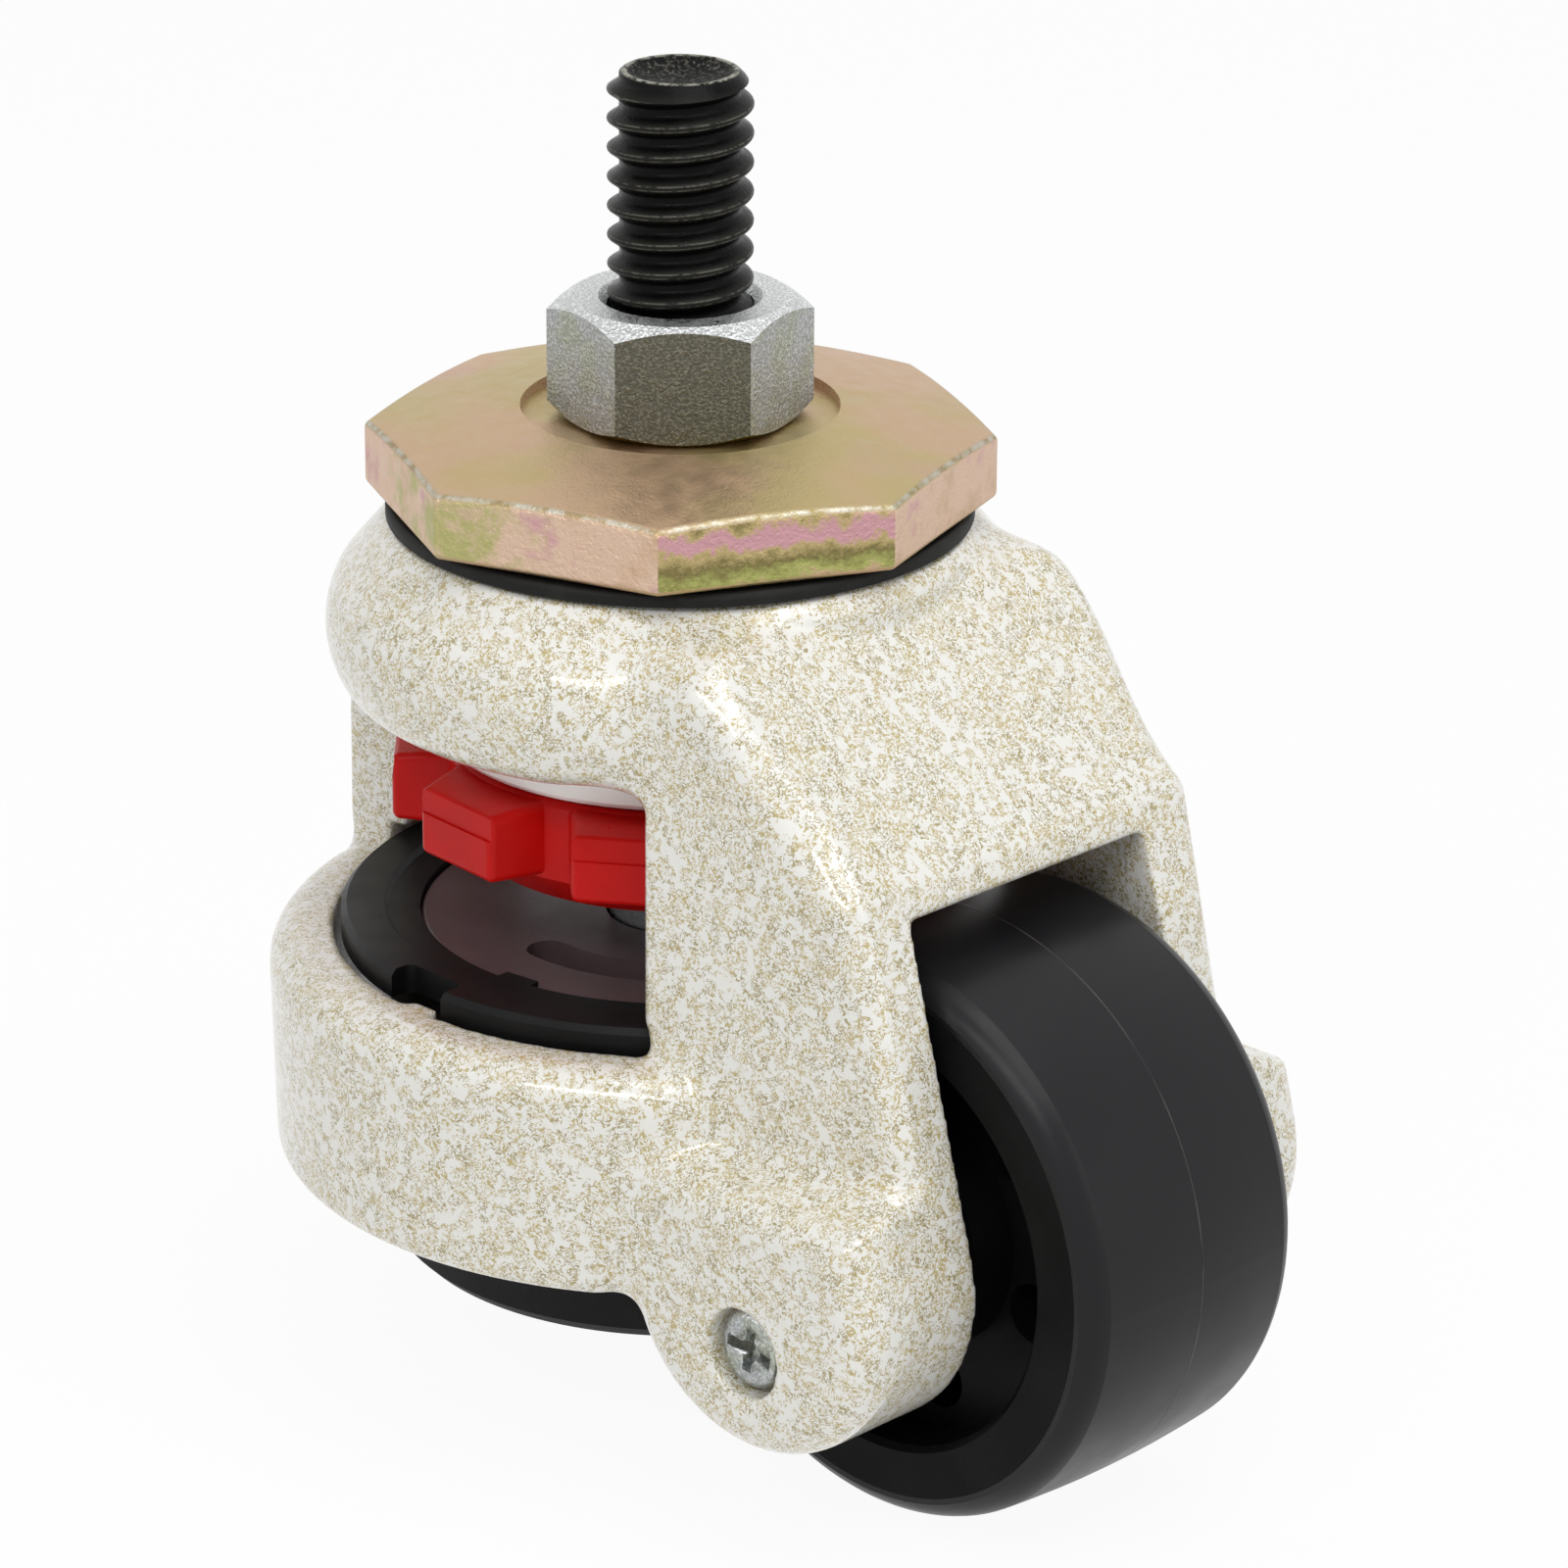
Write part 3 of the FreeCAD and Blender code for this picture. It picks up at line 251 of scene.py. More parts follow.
def speckled_enamel(colours):
    """Sprayed and baked enamel on a casting: pale glossy ground, ochre threads branching round islands."""
    material, tree, shader, place = new_material("speckled_enamel")
    # sizes in millimetres
    island_size = 0.95       # bare islands
    patch_size = 7.0         # stretches where the threads lie denser
    thread_spacing = 0.42    # between the threads of one cluster, coarser than the real ones so that it shows
    tint_size = 1.6          # stretches of one tint
    dab_size = 0.55          # tan dabs where threads run together
    peel_size = 2.6          # orange peel of the sprayed coat
    peel_depth = 0.025
    # shares of the noise's range
    patch_swing = 0.22
    thread_half_width = 0.050
    core_margin = 0.014
    edge_margin = 0.006
    islands = add(tree, "TexNoise", {"Vector": place, "Scale": 1 / island_size, "Roughness": 0.55,
                                     "Distortion": 0.4})
    patches = add(tree, "TexNoise", {"Vector": place, "Scale": 1 / patch_size, "Detail": 1.0})
    patches = mask(tree, add(tree, "Math", (patches, 0.5), operation="SUBTRACT"), patch_swing)
    room = mask(tree, (add(tree, "Math", (islands, patches), operation="ADD"), 0.37, 0.49))
    grain = add(tree, "TexNoise", {"Vector": place, "Scale": 1 / thread_spacing, "Roughness": 0.55,
                                   "Distortion": 0.8})
    contour = add(tree, "Math", (grain, 0.5), operation="SUBTRACT")
    contour = add(tree, "Math", (contour,), operation="ABSOLUTE")
    half_width = mask(tree, room, thread_half_width)
    core = add(tree, "Math", (half_width, core_margin), operation="SUBTRACT")
    edge = add(tree, "Math", (half_width, edge_margin), operation="ADD")
    threads = add(tree, "MapRange", (contour, edge, core, 0.0, 1.0))
    ink = mask(tree, threads, (room, 0.05, 0.25), 0.95)
    tan = rgba(colours.enamel_speckle)
    ochre = tinted(tan, 0.86, 0.95, 0.86)
    olive = tinted(tan, 0.62, 0.70, 0.68)
    tints = add(tree, "TexNoise", {"Vector": place, "Scale": 1 / tint_size})
    tint = add(tree, "Mix", (mask(tree, (tints, 0.44, 0.60)), ochre, olive), **COLOUR)
    dabs = add(tree, "TexNoise", {"Vector": place, "Scale": 1 / dab_size, "Detail": 3.0, "Roughness": 0.6,
                                  "Distortion": 0.6})
    dabs = mask(tree, (dabs, 0.54, 0.62), room, 0.30)
    ground = add(tree, "Mix", (dabs, rgba(colours.enamel), tan), **COLOUR)
    paint = add(tree, "Mix", (ink, ground, tint), **COLOUR)
    peel = add(tree, "TexNoise", {"Vector": place, "Scale": 1 / peel_size, "Detail": 1.5})
    set_shader(shader, Roughness=0.32, IOR=1.5, Coat_Weight=0.8, Coat_Roughness=0.05, Coat_IOR=1.5)
    dress(tree, shader, paint, peel, peel_depth)
    return material


def black_oxide_steel(colours):
    """Rolled thread, blackened and oiled: dark, with a painted sheen along the crests and a fine grain."""
    material, tree, shader, place = new_material("black_oxide_steel")
    fleck_size, grain_size, oil_size = 0.8, 0.35, 1.6    # millimetres, as all sizes below
    grain_depth = 0.07
    painted_sheen = rgba(to_linear("#1F1F1C"))
    bare = rgba(to_linear("#9A988C"))
    stud_end = STUD_TOP / MM
    crest_radius = STUD_RADIUS / MM
    cup_radius = 4.3
    radius = distance_from_axis(tree, place)
    height = add(tree, "SeparateXYZ", (place,)).outputs["Z"]
    # painted sheen: the band over the crests is painted a lighter grey where light runs along them
    painted_sheen_band = mask(tree, (radius, crest_radius - 0.7, crest_radius - 0.1))
    tone = add(tree, "Mix", (painted_sheen_band, rgba(colours.black_oxide), painted_sheen), **COLOUR)
    # oxide rubbed off along the crests
    rubbed = mask(tree, (radius, crest_radius - 0.14, crest_radius - 0.08),
                  (radius, crest_radius - 0.015, crest_radius - 0.05), 0.26)
    # oxide knocked off the rim of the pressed cup
    rim = mask(tree, (height, stud_end - 0.12, stud_end - 0.03), (radius, cup_radius - 0.2, cup_radius))
    flecks = add(tree, "TexNoise", {"Vector": place, "Scale": 1 / fleck_size, "Detail": 4.0,
                                    "Roughness": 0.65})
    flecks = mask(tree, add(tree, "Math", (rubbed, rim), operation="MAXIMUM"), (flecks, 0.38, 0.56))
    # bright grains in the cup
    cup = mask(tree, (height, stud_end - 1.3, stud_end - 1.1), (radius, cup_radius + 0.2, cup_radius))
    grain = add(tree, "TexNoise", {"Vector": place, "Scale": 1 / grain_size, "Detail": 3.0,
                                   "Roughness": 0.65})
    chips = mask(tree, cup, (grain, 0.5, 0.68), 0.4)
    worn = add(tree, "Math", (flecks, chips), operation="MAXIMUM")
    tone = add(tree, "Mix", (worn, tone, bare), **COLOUR)
    relief = mask(tree, grain, add(tree, "Math", (cup, 3.0, 0.5), operation="MULTIPLY_ADD"))
    oil = add(tree, "TexNoise", {"Vector": place, "Scale": 1 / oil_size})
    set_shader(shader, IOR=1.5, Specular_IOR_Level=0.08)
    dress(tree, shader, tone, relief, grain_depth, oil, (0.22, 0.38))
    return material


def bright_zinc_steel(colours, pit_depth, plate_reflection_share):
    """Forged steel with clear zinc: pitted flats that glitter, blue-grey and faintly yellow in places, with a
    painted highlight on faces turned up, one flat painted darker as a painted dark reflection, and faces
    turned down painted yellow as a painted reflection of the plate.
    """
    material, tree, shader, place = new_material("bright_zinc_steel")
    stain_size, pit_size, gloss_size = 3.5, 0.26, 1.2    # millimetres; pits coarser than real, to show
    base = rgba(colours.bright_zinc)
    warm = tinted(base, 0.92, 0.94, 0.80)
    painted_dark_reflection = tinted(base, 0.31, 0.30, 0.24)
    pale = rgba(to_linear("#EEF0F0"))
    painted_plate_reflection = rgba(to_linear("#9A8A3C"))
    black = (0.0, 0.0, 0.0, 1.0)
    normal = add(tree, "NewGeometry").outputs["Normal"]
    upward = add(tree, "SeparateXYZ", (normal,)).outputs["Z"]
    stains = add(tree, "TexNoise", {"Vector": place, "Scale": 1 / stain_size})
    hue = add(tree, "Mix", (mask(tree, (stains, 0.42, 0.64)), base, warm), **COLOUR)
    # painted dark reflection: the flat towards the camera is painted darker, as if it mirrored the shaded
    # plate
    hue = add(tree, "Mix", (facing(tree, normal, PAINTED_DARK_FLAT), hue, painted_dark_reflection), **COLOUR)
    # painted highlight: faces turned upwards are painted paler
    hue = add(tree, "Mix", (mask(tree, (upward, 0.25, 0.5)), hue, pale), **COLOUR)
    # painted reflection: faces turned downwards are painted yellow, mirroring the plate
    hue = add(tree, "Mix", (mask(tree, (upward, -0.15, -0.40), plate_reflection_share), hue, painted_plate_reflection), **COLOUR)
    pits = add(tree, "TexNoise", {"Vector": place, "Scale": 1 / pit_size, "Detail": 3.0, "Roughness": 0.62})
    dark = add(tree, "Mix", (0.38, hue, black), **COLOUR)
    hue = add(tree, "Mix", (mask(tree, (pits, 0.62, 0.46)), hue, dark), **COLOUR)
    gloss = add(tree, "TexNoise", {"Vector": place, "Scale": 1 / gloss_size})
    set_shader(shader, Metallic=1.0)
    dress(tree, shader, hue, pits, pit_depth, gloss, (0.24, 0.42))
    return material


def yellow_zinc_steel(colours):
    """Blanked steel with yellow passivated zinc: tan, pink and green bands, darker along the edges, with
    painted highlights flecked along them.
    """
    material, tree, shader, place = new_material("yellow_zinc_steel")
    # sizes in millimetres
    ripple_size, cloud_size, mottle_size, fleck_size = 3.0, 6.5, 3.5, 1.6    # on the walls and the edge
    drift_size, blush_size = 16.0, 11.0                                      # on the top
    grain_size, fine_size, gloss_size = 0.42, 0.16, 2.0
    grain_depth = 0.16
    edge_height = 1.2
    base = rgba(colours.yellow_zinc)
    pink, green, olive, peach, dusk, painted_edge_highlight = (
        rgba(to_linear(code)) for code in ("#C99AA0", "#A9AC66", "#BBA877", "#D8BBA4", "#7D7348", "#C9C6BC"))
    normal = add(tree, "NewGeometry").outputs["Normal"]
    upward = add(tree, "SeparateXYZ", (normal,)).outputs["Z"]
    height = add(tree, "SeparateXYZ", (place,)).outputs["Z"]
    side = add(tree, "Math", (upward,), operation="ABSOLUTE")
    side = add(tree, "Math", (1.0, mask(tree, (side, 0.15, 0.5))), operation="SUBTRACT")
    # one wall with bands of interference colour along it
    ripple = add(tree, "TexNoise", {"Vector": place, "Scale": 1 / ripple_size, "Detail": 5.0,
                                    "Roughness": 0.7})
    ripple = mask(tree, add(tree, "Math", (ripple, 0.5), operation="SUBTRACT"), 0.9)
    level = add(tree, "MapRange", (height, PLATE_LOW.z / MM, PLATE_HIGH.z / MM - edge_height))
    film = add(tree, "Math", (level, ripple), operation="ADD")
    banded = set_stops(add(tree, "ValToRGB", (film,)),
                       ((0.0, base), (0.12, green), (0.30, dusk), (0.46, olive), (0.54, pink), (0.70, pink),
                        (0.82, olive), (0.95, dusk)))
    # the other walls, tan to pink, with green mottles at one corner
    clouds = add(tree, "TexNoise", {"Vector": place, "Scale": 1 / cloud_size, "Detail": 3.0,
                                    "Roughness": 0.6})
    plain = set_stops(add(tree, "ValToRGB", (clouds,)),
                      ((0.30, base), (0.46, peach), (0.56, peach), (0.66, pink)))
    turn = math.radians(GREEN_CORNER)
    reach = PLATE_HIGH.y / MM
    along = add(tree, "VectorMath", (place, (math.cos(turn), math.sin(turn), 0)), operation="DOT_PRODUCT")
    along = add(tree, "Math", (along, mask(tree, ripple, 16.0)), operation="ADD")
    mottles = add(tree, "TexNoise", {"Vector": place, "Scale": 1 / mottle_size, "Detail": 3.0,
                                     "Roughness": 0.6})
    mottles = mask(tree, (along, reach - 4.5, reach - 1.0), (mottles, 0.36, 0.56), 0.8)
    plain = add(tree, "Mix", (mottles, plain, green), **COLOUR)
    wall = add(tree, "Mix", (facing(tree, normal, BANDED_WALL), plain, banded), **COLOUR)
    # the top, tan to olive, with a faint blush
    drift = add(tree, "TexNoise", {"Vector": place, "Scale": 1 / drift_size, "Detail": 1.5})
    top = add(tree, "Mix", (mask(tree, (drift, 0.38, 0.54)), base, olive), **COLOUR)
    blush = add(tree, "TexNoise", {"Vector": place, "Scale": 1 / blush_size})
    top = add(tree, "Mix", (mask(tree, (blush, 0.52, 0.70), 0.30), top, pink), **COLOUR)
    tone = add(tree, "Mix", (side, top, wall), **COLOUR)
    # the edge, darker, with painted highlights in broken flecks
    edge = mask(tree, (upward, 0.30, 0.55), (upward, 0.97, 0.80))
    flecks = add(tree, "TexNoise", {"Vector": place, "Scale": 1 / fleck_size, "Detail": 4.0,
                                    "Roughness": 0.65})
    tone = add(tree, "Mix", (mask(tree, edge, 0.6), tone, dusk), **COLOUR)
    # painted highlight: broken pale flecks along the edge
    tone = add(tree, "Mix", (mask(tree, edge, (flecks, 0.36, 0.60), 0.7), tone, painted_edge_highlight), **COLOUR)
    # a coarse grain, deeper on the walls, under a fine one
    grain = add(tree, "TexNoise", {"Vector": place, "Scale": 1 / grain_size, "Detail": 3.0, "Roughness": 0.6})
    depth = add(tree, "Math", (mask(tree, side, 0.8), 0.35), operation="ADD")
    fine = add(tree, "TexNoise", {"Vector": place, "Scale": 1 / fine_size})
    relief = add(tree, "Math", (mask(tree, grain, depth), mask(tree, fine, 0.15)), operation="ADD")
    gloss = add(tree, "TexNoise", {"Vector": place, "Scale": 1 / gloss_size})
    set_shader(shader, Metallic=0.9)
    dress(tree, shader, tone, relief, grain_depth, gloss, (0.36, 0.50))
    return material


def moulded_nylon(name, colour, roughness, grain_depth, subsurface=0.0, shine_level=0.5):
    """Injection-moulded nylon: even colour, a fine spark-eroded grain and a soft sheen."""
    material, tree, shader, place = new_material(name)
    cloud_size, grain_size, gloss_size = 6.0, 0.3, 3.0    # millimetres
    lift = 0.004
    swing = 0.05
    pale = tuple(part * 1.25 + lift for part in colour) + (1.0,)
    cloud = add(tree, "TexNoise", {"Vector": place, "Scale": 1 / cloud_size, "Detail": 3.0})
    tone = add(tree, "Mix", (mask(tree, (cloud, 0.35, 0.7), 0.5), rgba(colour), pale), **COLOUR)
    grain = add(tree, "TexNoise", {"Vector": place, "Scale": 1 / grain_size})
    gloss = add(tree, "TexNoise", {"Vector": place, "Scale": 1 / gloss_size, "Detail": 3.0})
    set_shader(shader, IOR=1.53, Specular_IOR_Level=shine_level)
    if subsurface:
        set_shader(shader, Subsurface_Weight=subsurface, Subsurface_Radius=(1.0, 0.25, 0.2),
                   Subsurface_Scale=1.2 * MM)
    dress(tree, shader, tone, grain, grain_depth, gloss, (roughness - swing, roughness + swing))
    return material


def tread_urethane(colours):
    """Cast polyurethane tread: satin black, faintly blue, with a fine flash line round the middle."""
    material, tree, shader, place = new_material("tread_urethane")
    # sizes in millimetres
    line_half_width = 0.09
    line_wander = 0.12
    line_height = 0.05
    wander_size, break_size, grain_size, gloss_size = 4.0, 5.0, 0.5, 7.0
    across = add(tree, "SeparateXYZ", (place,)).outputs["Y"]
    across = add(tree, "Math", (across,), operation="ABSOLUTE")
    shift = add(tree, "TexNoise", {"Vector": place, "Scale": 1 / wander_size, "Detail": 3.0})
    shift = mask(tree, add(tree, "Math", (shift, 0.5), operation="SUBTRACT"), line_wander)
    line = add(tree, "Math", (across, shift), operation="ADD")
    line = mask(tree, (line, 0.0, line_half_width))
    line = add(tree, "Math", (1.0, line), operation="SUBTRACT")
    broken = add(tree, "TexNoise", {"Vector": place, "Scale": 1 / break_size})
    broken = mask(tree, line, (broken, 0.36, 0.52), 0.8)
    tone = add(tree, "Mix", (broken, rgba(colours.tread), rgba(to_linear("#5A5450"))), **COLOUR)
    grain = add(tree, "TexNoise", {"Vector": place, "Scale": 1 / grain_size})
    relief = add(tree, "Math", (mask(tree, grain, 0.12), line), operation="ADD")
    gloss = add(tree, "TexNoise", {"Vector": place, "Scale": 1 / gloss_size, "Detail": 3.0})
    set_shader(shader, IOR=1.5, Specular_IOR_Level=0.24)
    dress(tree, shader, tone, relief, line_height, gloss, (0.30, 0.40))
    return material


def ground_steel(name, code, roughness):
    """Turned and ground steel: bright, with a fine grain of tool marks."""
    material, tree, shader, place = new_material(name)
    mark_size, mark_depth = 0.5, 0.01    # millimetres
    base = rgba(to_linear(code))
    marks = add(tree, "TexNoise", {"Vector": place, "Scale": 1 / mark_size, "Detail": 3.0})
    share = mask(tree, (marks, 0.4, 0.6))
    tone = add(tree, "Mix", (share, base, tinted(base, 0.8, 0.8, 0.8)), **COLOUR)
    set_shader(shader, Metallic=1.0)
    dress(tree, shader, tone, marks, mark_depth, marks, (roughness, roughness + 0.1))
    return material


def moulded_rubber(name, code):
    """Nitrile rubber: matt black with a faint bloom."""
    material, tree, shader, place = new_material(name)
    bloom_size, grain_size, grain_depth = 2.5, 0.35, 0.04    # millimetres
    base = rgba(to_linear(code))
    bloom = add(tree, "TexNoise", {"Vector": place, "Scale": 1 / bloom_size, "Detail": 4.0})
    bloom = mask(tree, (bloom, 0.45, 0.7))
    tone = add(tree, "Mix", (bloom, base, tinted(base, 1.6, 1.6, 1.6)), **COLOUR)
    grain = add(tree, "TexNoise", {"Vector": place, "Scale": 1 / grain_size, "Detail": 3.0})
    set_shader(shader, Roughness=0.62, IOR=1.52, Specular_IOR_Level=0.2)
    dress(tree, shader, tone, grain, grain_depth)
    return material


# Modelling helpers

def deselect():
    """Leaves nothing selected, in object mode."""
    if bpy.context.mode != "OBJECT":
        bpy.ops.object.mode_set(mode="OBJECT")
    bpy.ops.object.select_all(action="DESELECT")


def activate(piece):
    """Makes one object the only selected and active one."""
    deselect()
    piece.select_set(True)
    bpy.context.view_layer.objects.active = piece


def coat(material, *pieces):
    """Gives each CAD node's object or new piece its one material."""
    for piece in pieces:
        piece.data.materials.clear()
        piece.data.materials.append(material)


def edit_all(piece, operator, **settings):
    """Runs one edit mode operator on the whole of a piece."""
    activate(piece)
    bpy.ops.object.mode_set(mode="EDIT")
    bpy.ops.mesh.select_all(action="SELECT")
    operator(**settings)
    bpy.ops.object.mode_set(mode="OBJECT")


def draw_chain(name, points):
    """Open chain of edges through points, extruded one vertex at a time from a merged plane."""
    deselect()
    bpy.ops.mesh.primitive_plane_add(size=MM, location=points[0])
    piece = bpy.context.active_object
    piece.name = name
    bpy.ops.object.transform_apply(location=True, rotation=True, scale=True)
    bpy.ops.object.mode_set(mode="EDIT")
    bpy.ops.mesh.select_all(action="SELECT")
    bpy.ops.mesh.merge(type="CENTER")
    here = Vector(points[0])
    for point in points[1:]:
        step = Vector(point) - here
        bpy.ops.mesh.extrude_region_move(TRANSFORM_OT_translate={"value": step})
        here = Vector(point)
    bpy.ops.object.mode_set(mode="OBJECT")
    return piece


def apply_modifier(piece, kind, **settings):
    """Adds a modifier, sets it and applies it."""
    activate(piece)
    modifier = piece.modifiers.new(kind.lower(), kind)
    for key, value in settings.items():
        setattr(modifier, key, value)
    bpy.ops.object.modifier_apply(modifier=modifier.name)


def close_and_orient(piece, gap=0.0005 * MM):
    """Merges doubles and points the faces outwards."""
    edit_all(piece, bpy.ops.mesh.remove_doubles, threshold=gap)
    edit_all(piece, bpy.ops.mesh.normals_make_consistent, inside=False)


def boolean(piece, tool, operation="DIFFERENCE"):
    """Cuts, keeps or joins with a tool, which is then deleted."""
    apply_modifier(piece, "BOOLEAN", operation=operation, object=tool, solver="EXACT")
    bpy.data.objects.remove(tool)


def smooth_by_angle(piece, degrees):
    """Smooth shading below an edge angle."""
    activate(piece)
    bpy.ops.object.shade_smooth_by_angle(angle=math.radians(degrees))


def spin_chain(piece, steps):
    """Turns a chain into a closed solid of revolution about the king bolt's axis."""
    edit_all(piece, bpy.ops.mesh.spin, steps=steps, angle=2 * math.pi, center=(0, 0, 0), axis=(0, 0, 1))
    close_and_orient(piece, 0.002 * MM)


def merged_copy(node, name):
    """Copy of a CAD node's mesh with its loose triangles merged."""
    source = NODES[node]
    piece = bpy.data.objects.new(name, source.data.copy())
    bpy.context.scene.collection.objects.link(piece)
    piece.matrix_world = source.matrix_world
    activate(piece)
    bpy.ops.object.transform_apply(location=True, rotation=True, scale=True)
    edit_all(piece, bpy.ops.mesh.remove_doubles, threshold=0.001 * MM)
    return piece


# Stage

def seen_rays(tree):
    """One for rays that see the background: from the camera, or by way of metal, gloss and glass."""
    path = add(tree, "LightPath").outputs
    seen = add(tree, "Math", (path["Is Camera Ray"], path["Is Glossy Ray"]), operation="MAXIMUM")
    return add(tree, "Math", (seen, path["Is Transmission Ray"]), operation="MAXIMUM")


class StageOperator(bpy.types.Operator):
    """Floor, lights, world and camera"""
    bl_idname = "castor.stage"
    bl_label = "Stage"

    def execute(self, context):
        scene = context.scene
        scene.view_settings.view_transform = "Standard"
        self.add_floor(scene)
        self.add_world(scene)
        self.add_lamps()
        self.add_camera(scene)
        return {"FINISHED"}

    def add_floor(self, scene):
        """Pale floor that shows soft shadows and is nearly white to the camera."""
        deselect()
        size = scene.castor_sizes.floor_size
        bpy.ops.mesh.primitive_plane_add(size=size, location=(0, 0, CAD_BOX[0][2]))
        floor = bpy.context.active_object
        floor.name = "floor"
        bpy.ops.object.transform_apply(location=True)
        material, tree, shader, _ = new_material("paper_floor")
        set_shader(shader, Base_Color=rgba(to_linear("#F8F8F8")), Roughness=0.9)
        white_share = 0.94
        share = mask(tree, seen_rays(tree), white_share)
        glow = add(tree, "Emission", {"Color": WHITE, "Strength": 1.0})
        output = next(node for node in tree.nodes if node.type == "OUTPUT_MATERIAL")
        link(tree, add(tree, "MixShader", (share, shader, glow)), output.inputs["Surface"])
        coat(material, floor)

    def add_world(self, scene):
        """White surroundings that light the object less than they show."""
        world = bpy.data.worlds.new("studio")
        scene.world = world
        world.use_nodes = True
        tree = world.node_tree
        tree.nodes.clear()
        fill = add(tree, "Background", {"Color": WHITE, "Strength": 0.40})
        seen = add(tree, "Background", {"Color": WHITE, "Strength": 1.0})
        mixed = add(tree, "MixShader", (seen_rays(tree), fill, seen))
        add(tree, "OutputWorld", {"Surface": mixed})

    def add_lamps(self):
        """Soft lamps round the object."""
        target = Vector((0.01, 0, -0.03))
        # name, direction from the object, distance, width, height, watts
        lamps = (
            ("key_strip", (0.26, -0.72, 0.65), 0.80, 0.50, 0.11, 1.5),
            ("top_softbox", (0.35, -0.05, 0.92), 0.80, 0.60, 0.60, 2.9),
            ("right_softbox", (1.0, 0.25, 0.35), 0.85, 0.30, 0.60, 0.6),
        )
        for name, direction, distance, width, height, watts in lamps:
            lamp = bpy.data.lights.new(name, "AREA")
            lamp.shape = "RECTANGLE"
            lamp.size = width
            lamp.size_y = height
            lamp.energy = watts
            holder = bpy.data.objects.new(name, lamp)
            bpy.context.scene.collection.objects.link(holder)
            towards = Vector(direction).normalized()
            holder.location = target + towards * distance
            holder.rotation_euler = towards.to_track_quat("Z", "Y").to_euler()

    def add_camera(self, scene):
        """Camera where the photograph was taken, found by fitting its outlines to the solids."""
        azimuth = math.radians(44.565)
        elevation = math.radians(21.537)
        roll = math.radians(0.365)
        distance = 0.56494
        sideways = 0.008727
        aim_height = -0.042989
        focal_pixels = 6853.4
        photo_pixels = 1600
        back = Vector((math.sin(azimuth) * math.cos(elevation), -math.cos(azimuth) * math.cos(elevation),
                       math.sin(elevation)))
        right = Vector((math.cos(azimuth), math.sin(azimuth), 0))
        up = back.cross(right)
        turned_right = right * math.cos(roll) + up * math.sin(roll)
        turned_up = up * math.cos(roll) - right * math.sin(roll)
        aim = right * sideways + Vector((0, 0, aim_height))
        data = bpy.data.cameras.new("camera")
        data.sensor_width = 36
        data.sensor_fit = "HORIZONTAL"
        data.lens = focal_pixels / photo_pixels * data.sensor_width
        data.clip_start = 0.01
        camera = bpy.data.objects.new("camera", data)
        scene.collection.objects.link(camera)
        axes = Matrix((turned_right, turned_up, back)).transposed()
        camera.matrix_world = Matrix.Translation(aim + back * distance) @ axes.to_4x4()
        scene.camera = camera


